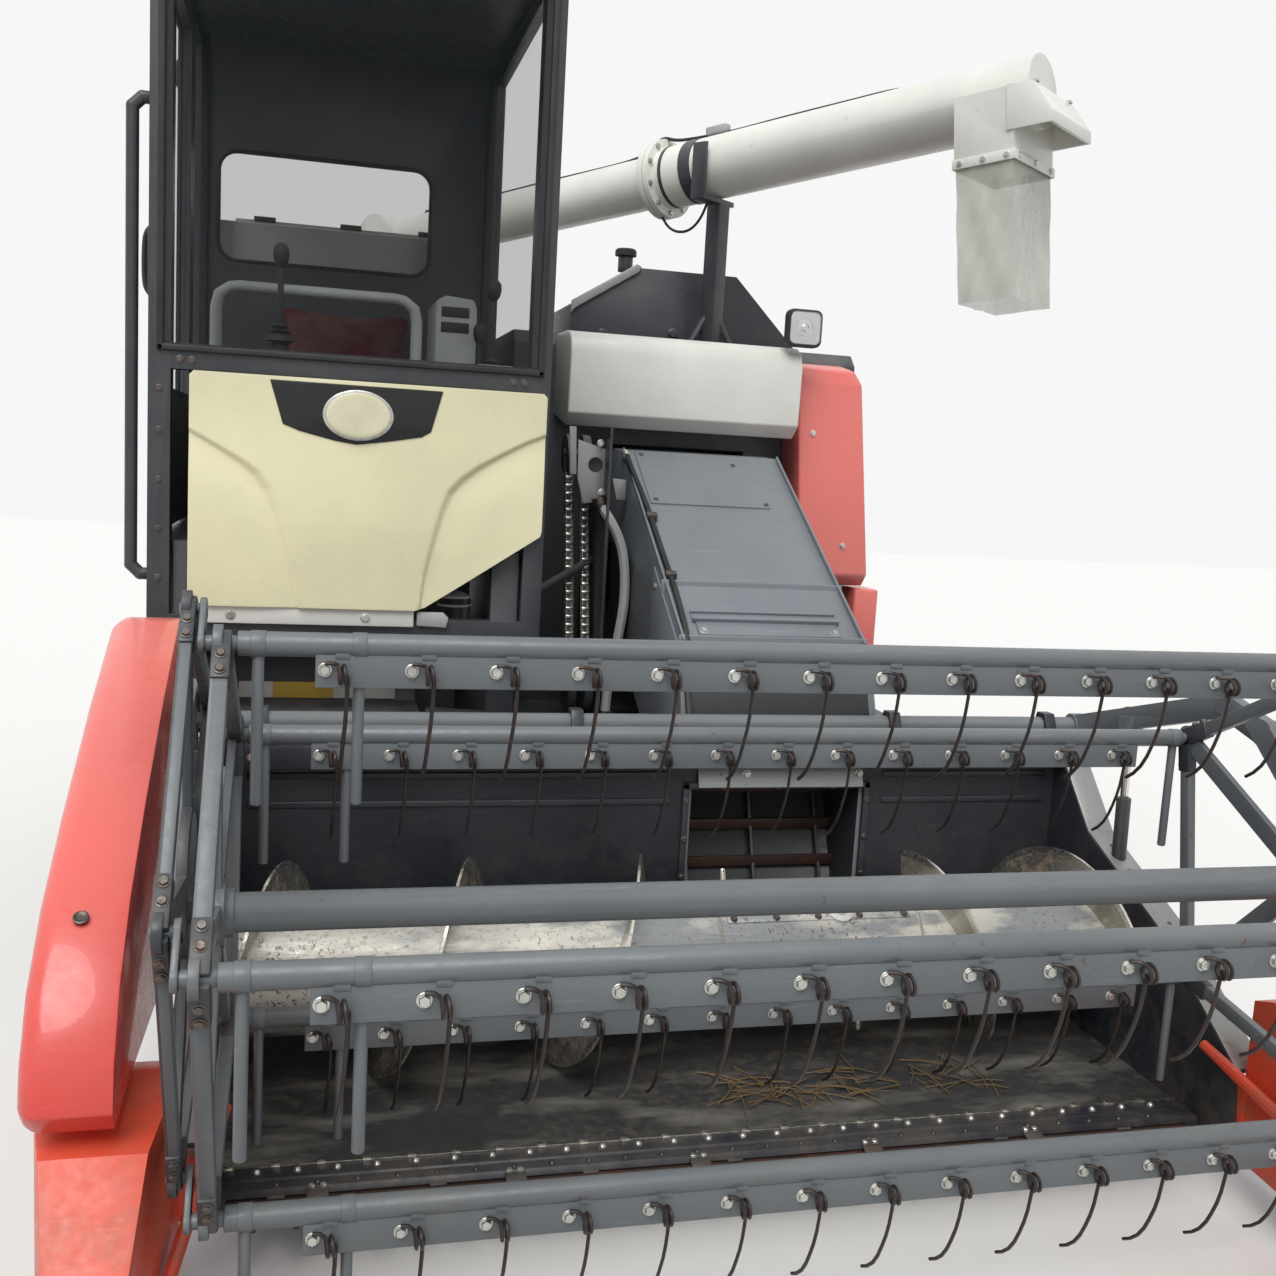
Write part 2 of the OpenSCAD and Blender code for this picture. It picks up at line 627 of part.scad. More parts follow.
// Header auger: drum, opposed flights and fingers
stub_r = 25;
flight_t = 6;
flight_pitch = 408;
flight_seg = 16;
module flight(x0, x1, hand, start) {
    n = round((x1 - x0) / flight_pitch * flight_seg);
    pitch = (x1 - x0) / n;
    points = [for (k = [0 : n]) let (a = start + hand * k * 360 / flight_seg, x = x0 + k * pitch)
        for (p = [[auger_drum_r - 8, 0], [auger_r, 0], [auger_r, flight_t], [auger_drum_r - 8, flight_t]])
        [x + p[1], auger_y + p[0] * cos(a), auger_z + p[0] * sin(a)]];
    quads = [for (k = [0 : n - 1]) for (e = [0 : 3])
        let (a = 4 * k + e, b = 4 * k + (e + 1) % 4)
        hand > 0 ? [a, b, b + 4, a + 4] : [a, a + 4, b + 4, b]];
    ends = hand > 0 ? [[3, 2, 1, 0], [4 * n, 4 * n + 1, 4 * n + 2, 4 * n + 3]]
                    : [[0, 1, 2, 3], [4 * n + 3, 4 * n + 2, 4 * n + 1, 4 * n]];
    polyhedron(points, concat(quads, ends), convexity = 6);
}
module header_auger() {
    color(steel) {
        translate([header_x0 + 20, auger_y, auger_z]) rotate([0, 90, 0])
            cylinder(r = auger_drum_r, h = header_w - 40, $fn = 96);
        bar_x(header_x0 - plate_t - 8, header_x1 + plate_t + 8, auger_y, auger_z, stub_r);
        flight(header_x0 + 30, mouth_x0 - 30, -1, 156);
        flight(mouth_x1 + 20, header_x1 - 40, 1, 78);
        for (k = [0 : 5]) let (x = mouth_x0 + 40 + k * 85, a = 70 + k * 137)
            rod([x, auger_y + (auger_drum_r - 20) * cos(a), auger_z + (auger_drum_r - 20) * sin(a)],
                [x, auger_y + (auger_drum_r + 60) * cos(a), auger_z + (auger_drum_r + 60) * sin(a)], 8, 12);
    }
}

// Reel
bar_first_a = 98.6;
n_bars = 5;
bar_x0 = header_x0 + 55;
bar_x1 = header_x1 - 84;
left_spider_x = bar_x0 - 28;
right_spider_x = bar_x1 + 24;
crank_x = left_spider_x - 23;
eccentric_x = left_spider_x - 48;
crank = [45, 45];
spider_hub_t = 16;
spider_t = 14;
journal_r = 12;
pin_r = 9;
first_tine_x = (bar_x0 + bar_x1 - (tine_count - 1) * tine_pitch) / 2;
function bar_at(i) = [reel_y + reel_r * cos(bar_first_a - i * 360 / n_bars),
                      reel_z + reel_r * sin(bar_first_a - i * 360 / n_bars)];

// Flat bar between two [y, z] points
module strap(p, q, w, x0, x1) {
    v = q - p;
    n = [-v[1], v[0]] / norm(v) * w / 2;
    sweep_x([p + n, q + n, q - n, p - n], x0, x1);
}

module spider(x, centre, hub_r, hole_r) {
    difference() {
        union() {
            bar_x(x - spider_hub_t / 2, x + spider_hub_t / 2, centre[0], centre[1], hub_r);
            for (i = [0 : n_bars - 1]) {
                strap(centre, centre + bar_at(i) - [reel_y, reel_z], 40, x - spider_t / 2, x + spider_t / 2);
                strap(centre + bar_at(i) - [reel_y, reel_z],
                      centre + bar_at(i + 1) - [reel_y, reel_z], 30, x - spider_t / 2, x + spider_t / 2);
                bar_x(x - spider_t / 2, x + spider_t / 2, centre[0] + bar_at(i)[0] - reel_y,
                      centre[1] + bar_at(i)[1] - reel_z, 28);
            }
        }
        for (i = [0 : n_bars - 1]) bar_x(x - 20, x + 20, centre[0] + bar_at(i)[0] - reel_y,
            centre[1] + bar_at(i)[1] - reel_z, hole_r);
    }
}

module reel_shaft() {
    color(mid_grey) bar_x(left_spider_x, right_spider_x, reel_y, reel_z, shaft_d / 2);
    color(charcoal) {
        spider(left_spider_x, [reel_y, reel_z], 55, journal_r + run_gap);
        spider(right_spider_x, [reel_y, reel_z], 55, journal_r + run_gap);
    }
    color(steel) bar_x(left_arm_x - 18, right_arm_x + 30, reel_y, reel_z, reel_stub_r);
}
reel_stub_r = 17;

// Eccentric spider: it runs on a disc that the right-hand arm carries
disc_r = 108;
module reel_eccentric() {
    centre = [reel_y, reel_z] + crank;
    color(charcoal) difference() {
        spider(eccentric_x, centre, disc_r + 24, pin_r + run_gap);
        bar_x(eccentric_x - 20, eccentric_x + 20, centre[0], centre[1], disc_r + run_gap);
    }
}

// One spring tine, hung from its bolt and curled back at the tip, seen along the bar
tine_line = [[0, -35], [0, -150], [6, -180], [20, -205], [42, -222], [tine_curl, -tine_drop]];
function side_of(line, k, h) = let (
    a = line[max(k - 1, 0)], b = line[min(k + 1, len(line) - 1)], v = (b - a) / norm(b - a))
    line[k] + h * [-v[1], v[0]];
function band(line, w) = concat(
    [for (k = [0 : len(line) - 1]) side_of(line, k, w / 2)],
    [for (k = [len(line) - 1 : -1 : 0]) side_of(line, k, -w / 2)]);
coil_r = 17;
coil_w = 22;
module tine(x) {
    sweep_x(band(tine_line, tine_d), x - tine_d / 2, x + tine_d / 2);
    bar_x(x - coil_w / 2, x + coil_w / 2, 0, -35, coil_r);
    translate([x, -26, -35]) rotate([-90, 0, 0]) cylinder(r = 9, h = 20);
}

module reel_bar(i) {
    p = bar_at(i);
    translate([0, p[0], p[1]]) {
        color(mid_grey) {
            bar_x(bar_x0, bar_x1, 0, 0, bar_d / 2);
            bar_x(crank_x - 6, bar_x0 + 1, 0, 0, journal_r);
            bar_x(bar_x1 - 1, right_spider_x + 14, 0, 0, journal_r);
            strap([0, 0], crank, 36, crank_x - 6, crank_x + 4);
            bar_x(crank_x - 6, crank_x + 4, crank[0], crank[1], 18);
            bar_x(eccentric_x - 11, crank_x, crank[0], crank[1], pin_r);
            sweep_x([[-14, -62], [-9, -62], [-9, -15], [12, -15], [12, -8], [-14, -8]],
                first_tine_x - 40, first_tine_x + (tine_count - 1) * tine_pitch + 40);
            for (x = [bar_x0 + 30, bar_x0 + 180, bar_x1 - 16]) translate([x, 0, -250]) cylinder(r = 9, h = 250);
        }
        color(rusty) for (k = [0 : tine_count - 1]) tine(first_tine_x + k * tine_pitch);
    }
}
module reel_bar_1() { reel_bar(0); }
module reel_bar_2() { reel_bar(1); }
module reel_bar_3() { reel_bar(2); }
module reel_bar_4() { reel_bar(3); }
module reel_bar_5() { reel_bar(4); }

// Reel arms on their cross tube
arm_line = [[arm_y, arm_z], [-1225, 975], [-1570, 1076], [-1700, 1040], [reel_y, reel_z]];
module reel_arm(x) {
    difference() {
        union() {
            for (k = [0 : len(arm_line) - 2]) strap(arm_line[k], arm_line[k + 1], 56, x - arm_w / 2, x + arm_w / 2);
            for (k = [0 : len(arm_line) - 1]) bar_x(x - arm_w / 2, x + arm_w / 2, arm_line[k][0], arm_line[k][1], 30);
            for (e = [-19, 13]) sweep_x([[reel_eye_y - 30, 985], [reel_eye_y + 30, 975],
                [reel_eye_y + 18, reel_eye_z - 18], [reel_eye_y - 18, reel_eye_z - 18]], x + e, x + e + 6);
        }
        bar_x(x - 60, x + 60, reel_y, reel_z, reel_stub_r + run_gap);
    }
    for (e = [-22, 18]) bar_x(x + e, x + e + 4, reel_eye_y, reel_eye_z, 10);
}
module reel_arms() {
    color(mid_grey) {
        bar_x(left_arm_x, right_arm_x, arm_y, arm_z, tube_r);
        reel_arm(left_arm_x);
        reel_arm(right_arm_x);
        difference() {
            union() {
                bar_x(eccentric_x - 6, eccentric_x + 6, reel_y + crank[0], reel_z + crank[1], disc_r);
                bar_x(left_arm_x + 8, eccentric_x, reel_y, reel_z, 34);
            }
            bar_x(left_arm_x - 60, eccentric_x + 20, reel_y, reel_z, reel_stub_r + run_gap);
        }
    }
}

module reel_barrels() {
    color(charcoal) for (x = [left_arm_x, right_arm_x])
        reel_barrel([x, reel_cyl_y, reel_cyl_z], [x, reel_eye_y, reel_eye_z]);
}
module reel_barrel(base, eye) {
    dir = (eye - base) / norm(eye - base);
    barrel(base, dir, 210, reel_barrel_r, 26, 17);
}
module reel_rods() {
    color(chrome) for (x = [left_arm_x, right_arm_x]) {
        base = [x, reel_cyl_y, reel_cyl_z];
        eye = [x, reel_eye_y, reel_eye_z];
        dir = (eye - base) / norm(eye - base);
        rod(base + dir * 60, eye, rod_bore(reel_barrel_r) - run_gap);
        bar_x(x - 10, x + 10, reel_eye_y, reel_eye_z, 15);
    }
}

// Cab
cab_x1 = cab_x + cab_w;
cab_y1 = cab_y + cab_d;
wall_t = 30;
door_y0 = -500;
door_y1 = 150;
door_gap = 6;
door_z0 = cab_floor_z + 20;
door_z1 = roof_z - 40;
knuckle_h = 34;
knuckle_r = 10;
door_hinge_zs = [door_z0 + 160, door_z1 - 160];
// Knuckle of a hinge with the arm that carries it
module hinge_leaf(axis, root, z) {
    translate([axis[0], axis[1], z]) cylinder(r = knuckle_r, h = knuckle_h - seat_gap);
    box([min(axis[0], root[0]), min(axis[1], root[1]) - 3, z],
        [max(axis[0], root[0]) + 2, max(axis[1], root[1]) + 3, z + knuckle_h - seat_gap]);
}
// Leaf on the fixed side: round the edge of the door, from its knuckle to the wall beyond
module fixed_leaf(axis, face_x, wall_y, z) {
    s = sign(wall_y - axis[1]);
    translate([axis[0], axis[1], z]) cylinder(r = knuckle_r, h = knuckle_h - seat_gap);
    box([axis[0] - 3, min(axis[1], wall_y + s * 14), z],
        [face_x - 4, max(axis[1], wall_y + s * 14), z + knuckle_h - seat_gap]);
    box([axis[0] - 3, min(wall_y, wall_y + s * 14), z],
        [face_x + 6, max(wall_y, wall_y + s * 14), z + knuckle_h - seat_gap]);
}
module cab_post(x, y, w, d) {
    box([x, y, cab_floor_z - 40], [x + w, y + d, roof_z]);
}
module cab_frame() {
    color(charcoal) difference() {
        union() {
            box([cab_x, cab_y + 70, cab_floor_z - 40], [cab_x1, cab_y1, cab_floor_z]);
            cab_post(cab_x, cab_y, post_t, post_t + 20);
            cab_post(cab_x1 - post_t, cab_y, post_t, post_t + 20);
            for (x = [cab_x, cab_x1 - post_t]) box([x, cab_y, 1050], [x + post_t, cab_y + post_t, cab_floor_z]);
            box([cab_x + 10, screen_y0 - 42, deck_z - 60], [body_x0 - seat_gap, screen_y0 - 6, cab_floor_z - 30]);
            box([cab_x + 10, screen_y1 + 6, deck_z - 60], [body_x0 - seat_gap, screen_y1 + 30, cab_floor_z - 30]);
            for (z = door_hinge_zs) fixed_leaf([hinge_x, hinge_y], cab_x, door_y1 + door_gap + 1, z - knuckle_h);
            for (z = screen_hinge_zs) fixed_leaf([screen_hinge_x, screen_hinge_y], screen_x,
                screen_y0 - door_gap - 1, z - knuckle_h);
            cab_post(cab_x, cab_y1 - post_t, post_t, post_t);
            cab_post(cab_x1 - post_t, cab_y1 - post_t, post_t, post_t);
            cab_post(cab_x, door_y0 - door_gap - 40, wall_t, 40);
            cab_post(cab_x, door_y1 + door_gap, wall_t, 50);
            box([cab_x, cab_y, roof_z - 50], [cab_x1, cab_y + post_t, roof_z]);
            box([cab_x, cab_y, roof_z - 34], [cab_x + wall_t, cab_y1, roof_z]);
            box([cab_x1 - wall_t, cab_y, roof_z - 50], [cab_x1, cab_y1, roof_z]);
            box([cab_x, cab_y1 - wall_t, cab_floor_z - 10], [cab_x1, cab_y1, roof_z]);
            box([cab_x1 - wall_t, cab_y + 70, cab_floor_z - 10], [cab_x1, cab_y1, sill_z]);
            box([cab_x, door_y1 + door_gap, cab_floor_z - 10], [cab_x + wall_t, cab_y1, sill_z]);
            box([cab_x, cab_y + 40, cab_floor_z - 10], [cab_x + wall_t, door_y0 - door_gap, sill_z]);
            box([cab_x + 30, cab_y, sill_z - 62], [cab_x1 - 30, cab_y + 60, sill_z]);
            for (x = [cab_x + 60, cab_x1 - 130]) box([x, cab_y + 20, deck_z], [x + 70, cab_y + 90, cab_floor_z]);
            box([cab_x + 30, cab_y, 1050], [cab_x1 - 30, cab_y + 60, 1110]);
            for (x = [cab_x + 60, cab_x1 - 130]) box([x, cab_y1 - 90, deck_z], [x + 70, cab_y1 - 20, cab_floor_z]);
        }
        rear_window(wall_t + 4, -2);
    }
}
// Rounded rear window, cut or filled
rear_win = [[-1285, 2112], [-611, 2455]];
module rear_window(depth, inset) {
    r = 60;
    translate([0, cab_y1 + 2, 0]) rotate([90, 0, 0]) linear_extrude(depth) union() {
        translate([rear_win[0][0] + r, rear_win[0][1]]) square([rear_win[1][0] - rear_win[0][0] - 2 * r, rear_win[1][1] - rear_win[0][1]]);
        translate([rear_win[0][0], rear_win[0][1] + r]) square([rear_win[1][0] - rear_win[0][0], rear_win[1][1] - rear_win[0][1] - 2 * r]);
        for (x = [rear_win[0][0] + r, rear_win[1][0] - r]) for (z = [rear_win[0][1] + r, rear_win[1][1] - r])
            translate([x, z]) circle(r = r);
    }
}

module cab_roof() {
    color(charcoal) {
        sweep_x([[cab_y - 40, roof_z + seat_gap], [cab_y - 40, roof_z + 40], [cab_y + 60, roof_z + roof_t - 10],
                 [cab_y + 200, roof_z + roof_t], [cab_y1 - 150, roof_z + roof_t],
                 [cab_y1 + 20, roof_z + roof_t - 40], [cab_y1 + 20, roof_z + seat_gap]],
                cab_x - 12, cab_x1 + 12);
    }
}

module cab_glass() {
    color(clear_glass) {
        box([cab_x + 20, cab_y - glass_t, sill_z - 20], [cab_x1 - 20, cab_y - seat_gap, roof_z - 4]);
        box([cab_x1 - 16, cab_y + post_t + 22, sill_z + seat_gap], [cab_x1 - 10, cab_y1 - post_t - 2, roof_z - 52]);
        box([cab_x + 10, cab_y + post_t + 22, sill_z + seat_gap], [cab_x + 16, door_y0 - door_gap - 42, roof_z - 36]);
        box([cab_x + 10, door_y1 + door_gap + 52, sill_z + seat_gap], [cab_x + 16, cab_y1 - post_t - 2, roof_z - 36]);
        intersection() {
            rear_window(60, 0);
            box([cab_x, cab_y1 - 16, 2000], [cab_x1, cab_y1 - 10, 2600]);
        }
    }
}

door_t = 28;
module cab_door() {
    color(charcoal) {
        difference() {
            box([cab_x + 1, door_y0, door_z0], [cab_x + 1 + door_t, door_y1, door_z1]);
            box([cab_x - 5, door_y0 + 45, sill_z - 100], [cab_x + 50, door_y1 - 45, door_z1 - 45]);
        }
        box([cab_x - 24, door_y0 + 12, 1900], [cab_x + 2, door_y0 + 34, 2060]);
        for (z = door_hinge_zs) hinge_leaf([hinge_x, hinge_y], [cab_x + 3, door_y1 - 30], z);
    }
}
hinge_x = cab_x - 14;
hinge_y = door_y1 - 6;
module cab_door_glass() {
    color(clear_glass) box([cab_x + 12, door_y0 + 45 + seat_gap, sill_z - 100 + seat_gap],
        [cab_x + 18, door_y1 - 45 - seat_gap, door_z1 - 45 - seat_gap]);
}

// Cream front panel with its cut lower corner
panel_x0 = -1270;
panel_x1 = -395;
panel_z1 = sill_z - 64;
module cab_front_panel() {
    color(cream) translate([0, cab_y - seat_gap, 0]) rotate([90, 0, 0]) linear_extrude(26) polygon([
        [panel_x0, panel_z1 - panel_h], [-716, panel_z1 - panel_h], [-690, panel_z1 - panel_h + 8],
        [panel_x1, panel_z1 - panel_h + 205], [panel_x1, panel_z1 - 6], [panel_x1 - 8, panel_z1],
        [panel_x0 + 8, panel_z1], [panel_x0, panel_z1 - 8]]);
    color(off_white) box([panel_x0 + 20, cab_y - 12, panel_z1 - panel_h - 40], [-716, cab_y - seat_gap, panel_z1 - panel_h + 10]);
}

// Seat, with the engine cover box that carries it
seat_x = -880;
module seat() {
    color([0.30, 0.08, 0.09]) {
        box([seat_x - 240, -80, 1560], [seat_x + 240, 400, 1680]);
        sweep_x([[300, 1680], [400, 1680], [425, 1990], [350, 1996]], seat_x - 220, seat_x + 220);
    }
    color(charcoal) box([seat_x - 260, -120, cab_floor_z], [seat_x + 260, 410, 1560]);
}

// Side console, levers, steering column and the arched grab tube
arch_r = 17;
lever_x = -1067;
arch_x0 = -1240;
arch_x1 = -700;
arch_y = -250;
arch_z = 1960;
module upright(x, y, z0, z1, r) {
    translate([x, y, z0]) cylinder(r = r, h = z1 - z0);
}
module controls() {
    color([0.62, 0.63, 0.62]) {
        box([-560, -420, cab_floor_z], [-430, 380, 1780]);
        for (x = [arch_x0, arch_x1]) {
            upright(x, arch_y, cab_floor_z + seat_gap, arch_z, arch_r);
            translate([x, arch_y, arch_z]) sphere(r = arch_r + 2);
        }
        bar_x(arch_x0, arch_x1, arch_y, arch_z, arch_r);
    }
    color(charcoal) {
        upright(-495, -320, 1770, 1980, 9);
        upright(-495, -320, 1965, 2030, 22);
        upright(-500, -70, 1770, 1900, 8);
        upright(-500, -70, 1885, 1930, 19);
        upright(lever_x, -460, cab_floor_z + seat_gap, 1830, 24);
        upright(lever_x, -460, 1820, 1990, 10);
        upright(lever_x, -460, 1975, 2055, 21);
    }
}

// Engine and what shows round it
chain_plate_x = -134;
module engine_block() {
    color([0.30, 0.31, 0.33]) {
        box([-1180, -300, deck_z], [-560, 330, 1210]);
        box([body_x0 + 10, screen_y0 + 20, deck_z], [-1179, 330, 1200]);
    }
}
module drive_gear() {
    color(off_white) translate([-590, -475, 1010]) cylinder(r = 46, h = 140);
    color(charcoal) {
        box([-640, -530, 985], [-540, -300.3, 1010]);
        box([chain_plate_x, -300, deck_z], [chain_plate_x + 8, 40, 1640]);
        bar_x(-225, chain_plate_x + 4, -60, 1560, 16);
        bar_x(-225, chain_plate_x + 4, -240, 860, 16);
        bent_rod([[-480, -420, deck_z + 3], [-440, -430, 1000], [-330, -280, 1150], [chain_plate_x + 4, -120, 1240]], 14);
    }
    color(steel) for (x = [-210, -160]) chain_run(x);
}
// Roller chain seen side on, links as alternating plates
module chain_run(x) {
    a = [x, -60, 1560];
    b = [x, -240, 860];
    n = 16;
    for (k = [0 : n - 1]) {
        p = a + (b - a) * k / n;
        q = a + (b - a) * (k + 1.1) / n;
        inner = k % 2 == 0;
        translate([x, 0, 0]) strap([p[1], p[2]], [q[1], q[2]], inner ? 20 : 16, inner ? -9 : -13, inner ? 9 : 13);
    }
    bar_x(x - 12, x + 12, -60, 1560, 60);
    bar_x(x - 12, x + 12, -240, 860, 70);
}

// Radiator screen door under the cab door
screen_y0 = -90;
screen_y1 = 450;
screen_z0 = deck_z + 15;
screen_z1 = cab_floor_z - 50;
screen_x = cab_x + 10;
screen_hinge_x = screen_x - 12;
screen_hinge_y = screen_y0 + 4;
screen_hinge_zs = [screen_z0 + 90, screen_z1 - 90];
module screen_door() {
    color(charcoal) {
        difference() {
            box([screen_x, screen_y0, screen_z0], [screen_x + 30, screen_y1, screen_z1]);
            box([screen_x - 1, screen_y0 + 40, screen_z0 + 40], [screen_x + 40, screen_y1 - 40, screen_z1 - 40]);
        }
        for (z = screen_hinge_zs) hinge_leaf([screen_hinge_x, screen_hinge_y], [screen_x + 4, screen_y0 + 30], z);
        for (k = [1 : 17]) box([screen_x + 10, screen_y0 + 38, screen_z0 + 40 + k * 21 - 2],
            [screen_x + 14, screen_y1 - 38, screen_z0 + 40 + k * 21 + 2]);
        for (k = [1 : 4]) box([screen_x + 8, screen_y0 + 40 + k * 92 - 3, screen_z0 + 38],
            [screen_x + 16, screen_y0 + 40 + k * 92 + 3, screen_z1 - 38]);
    }
}

// Grab rail at the front corner and the steps under the door
rail_tube_x = -1408;
rail_y = -640;
rail_z0 = 1205;
rail_z1 = 2335;
step_x0 = -1350;
module handrail_steps() {
    color(charcoal) {
        bent_rod([[cab_x - seat_gap, rail_y, rail_z1], [rail_tube_x + 22, rail_y, rail_z1],
                  [rail_tube_x, rail_y, rail_z1 - 22], [rail_tube_x, rail_y, rail_z0 + 22],
                  [rail_tube_x + 22, rail_y, rail_z0], [cab_x - seat_gap, rail_y, rail_z0]], 15);
        for (z = [520, 900]) box([step_x0, -560, z], [step_x0 + 158, -220, z + 25]);
        for (y = [-540, -250]) box([-1330, y - 6, 520], [body_x0 - 6, y + 6, cab_floor_z - 40 - seat_gap]);
    }
}

// Grain tank
tank_x0 = -1360;
tank_x1 = -425;
tank_y0 = cab_y1 + 50;
tank_y1 = tank_y0 + tank_d;
module grain_tank() {
    color(off_white) {
        translate([0, tank_y1, 0]) rotate([90, 0, 0]) linear_extrude(tank_d) polygon([
            [tank_x0 + 300, deck_z], [tank_x1 - 120, deck_z], [tank_x1, 1100], [tank_x1, tank_z - 60],
            [tank_x1 - 60, tank_z], [tank_x0 + 60, tank_z], [tank_x0, tank_z - 60], [tank_x0, 1250]]);
        for (k = [1 : 4]) box([tank_x0 - 8, tank_y0 + k * tank_d / 5 - 20, 1300],
            [tank_x0 + 1, tank_y0 + k * tank_d / 5 + 20, tank_z - 90]);
    }
    color(charcoal) box([tank_x0 + 120, tank_y0 + 100, tank_z - 1], [tank_x1 - 120, tank_y1 - 100, tank_z + 25]);
}

// Thresher body: stepped front, level top, sloping tail
thresher_x0 = -340;
thresher_y0 = 300;
module thresher_body() {
    color(mid_grey) difference() {
        sweep_x([[thresher_y0, deck_z], [thresher_y0, thresher_z - 40], [thresher_y0 + 40, thresher_z],
                 [1900, thresher_z], [thresher_rear_y, 1700], [thresher_rear_y, 1000], [2100, deck_z]],
                thresher_x0, thresher_x0 + thresher_w);
        box([feeder_x0 - 10, thresher_y0 - 1, 1060], [feeder_x1 + 10, thresher_y0 + 200, 1600]);
    }
}

// Dark cover over the separator, a trapezoid seen from the front
module top_cover() {
    color(charcoal) {
        translate([0, 1500, 0]) rotate([90, 0, 0]) linear_extrude(710) polygon([
            [-60, thresher_z], [820, thresher_z], [820, 2010], [570, top_cover_z],
            [180, top_cover_z], [-60, 2110]]);
        translate([160, 900, top_cover_z - 4]) cylinder(r = 28, h = 60);
    }
}

// White hood over the feeder's inlet, rounded above and bevelled below
hood_x1 = 572;
module front_hood() {
    color(off_white) sweep_x([[thresher_y0 - seat_gap, 1690], [80, 1650], [30, 1690], [25, 1880],
        [45, 1925], [80, 1945], [130, 1950], [thresher_y0 - seat_gap, 1950]], -200, hood_x1);
}

// Red front corner cover and the left side's panels
side_x = thresher_x0 + thresher_w;
module side_covers() {
    color(faded_red) {
        intersection() {
            sweep_x([[thresher_y0 - seat_gap, 1160], [170, 1160], [125, 1200], [125, 1840], [150, 1890],
                     [210, 1910], [thresher_y0 - seat_gap, 1910]], hood_x1, 910);
            translate([0, thresher_y0, 0]) rotate([90, 0, 0]) linear_extrude(200) polygon([
                [hood_x1 + 20, 1920], [770, 1920], [806, 1896], [828, 1850], [905, 1159], [650, 1159]]);
        }
        sweep_x([[430, 940], [150, 940], [150, 1150], [430, 1150]], side_x + seat_gap, 960);
    }
    color(faded_red) sweep_x([[440, 800], [440, 1150], [2190, 1150], [2298, 1070], [2298, 1010], [2080, 800]],
        side_x + seat_gap, side_x + 34);
}

module side_panel() {
    color(off_white) sweep_x([[440, 1152], [440, 1900], [1880, 1930], [2300, 1690], [2300, 1072], [2192, 1152]],
        side_x + seat_gap, side_x + 40);
}

// Straw outlet at the rear
module straw_hood() {
    color(charcoal) difference() {
        sweep_x([[thresher_rear_y + seat_gap, 1000], [thresher_rear_y + seat_gap, 1690], [2420, 1640],
                 [2535, 1250], [2535, 900], [2420, 860]], thresher_x0 + 60, side_x - 60);
        sweep_x([[thresher_rear_y + 20, 840], [thresher_rear_y + 20, 1500], [2420, 1560],
                 [2515, 1250], [2515, 840]], thresher_x0 + 80, side_x - 80);
    }
}

// Work lamps
lamp_x = 560;
module lamps() {
    color(charcoal) {
        translate([lamp_x, 70, 2005]) rotate([90, 0, 0]) cylinder(r1 = 38, r2 = 55, h = 60);
        translate([lamp_x, 150, 1950 + seat_gap]) cylinder(r = 9, h = 70);
        box([lamp_x - 10, 60, 1995], [lamp_x + 10, 150, 2015]);
    }
    color(chrome) translate([lamp_x, 10.3, 2005]) rotate([90, 0, 0]) cylinder(r = 50, h = 8);
}

// Unloading auger
col_x = -640;
col_y = tank_y1 + 375;
col_r = 105;
slew_z = 2080;
module column_foot() {
    box([col_x - 130, col_y - 130, deck_z - 5], [col_x + 130, col_y + 120, deck_z + 40]);
}
module auger_column() {
    color(off_white) {
        translate([col_x, col_y, deck_z + 40]) cylinder(r = col_r, h = slew_z - deck_z - 40 - 20);
        translate([col_x, col_y, slew_z - 40]) cylinder(r = col_r + 25, h = 40 - seat_gap);
        box([col_x - 60, tank_y1 + seat_gap, 1300], [col_x + 60, col_y, 1350]);
    }
}
pipe_yaw = -53.13;
pipe_pitch = 5.4;
module at_pipe() {
    translate([col_x, col_y, pipe_z]) rotate([0, 0, pipe_yaw]) rotate([0, -pipe_pitch, 0]) children();
}
module at_head() {
    translate([col_x, col_y, 0]) rotate([0, 0, pipe_yaw]) children();
}
head_half = 122;
pivot_drum_r = 112;
ear_t = 14;
module unload_elbow() {
    color(off_white) {
        translate([col_x, col_y, slew_z]) cylinder(r = col_r + 25, h = 30);
        translate([col_x, col_y, slew_z]) cylinder(r = col_r, h = pipe_z - slew_z - pivot_drum_r - 6);
        at_head() for (s = [-1, 1]) difference() {
            translate([0, s * (head_half + ear_t / 2), 0]) rotate([90, 0, 0]) translate([0, 0, -ear_t / 2])
                linear_extrude(ear_t) polygon([[-90, pipe_z - 200], [-70, pipe_z + 30], [70, pipe_z + 30], [90, pipe_z - 200]]);
            translate([0, s * head_half - 40, pipe_z]) rotate([-90, 0, 0]) cylinder(r = eye_r + run_gap, h = 80);
        }
        at_head() difference() {
            box([-90, -head_half - ear_t, pipe_z - 200], [90, head_half + ear_t, pipe_z - 160]);
            translate([0, 0, pipe_z - 201]) cylinder(r = col_r - 1, h = 50);
        }
        at_head() for (s = [-1, 1]) difference() {
            box([col_r - 20, s * 38 - 6, slew_z + 30], [col_r + 70, s * 38 + 6, slew_z + 90]);
            translate([base_s, s * 38 - 10, slew_z + 60]) rotate([-90, 0, 0]) cylinder(r = eye_r + run_gap, h = 20);
        }
    }
}
base_s = 150;
eye_s = 560;
eye_drop = 165;
inner_pipe_r = 95;
flange_s = 1520;
end_s0 = pipe_len - 220;
end_s1 = pipe_len - 28;
end_half = 150;
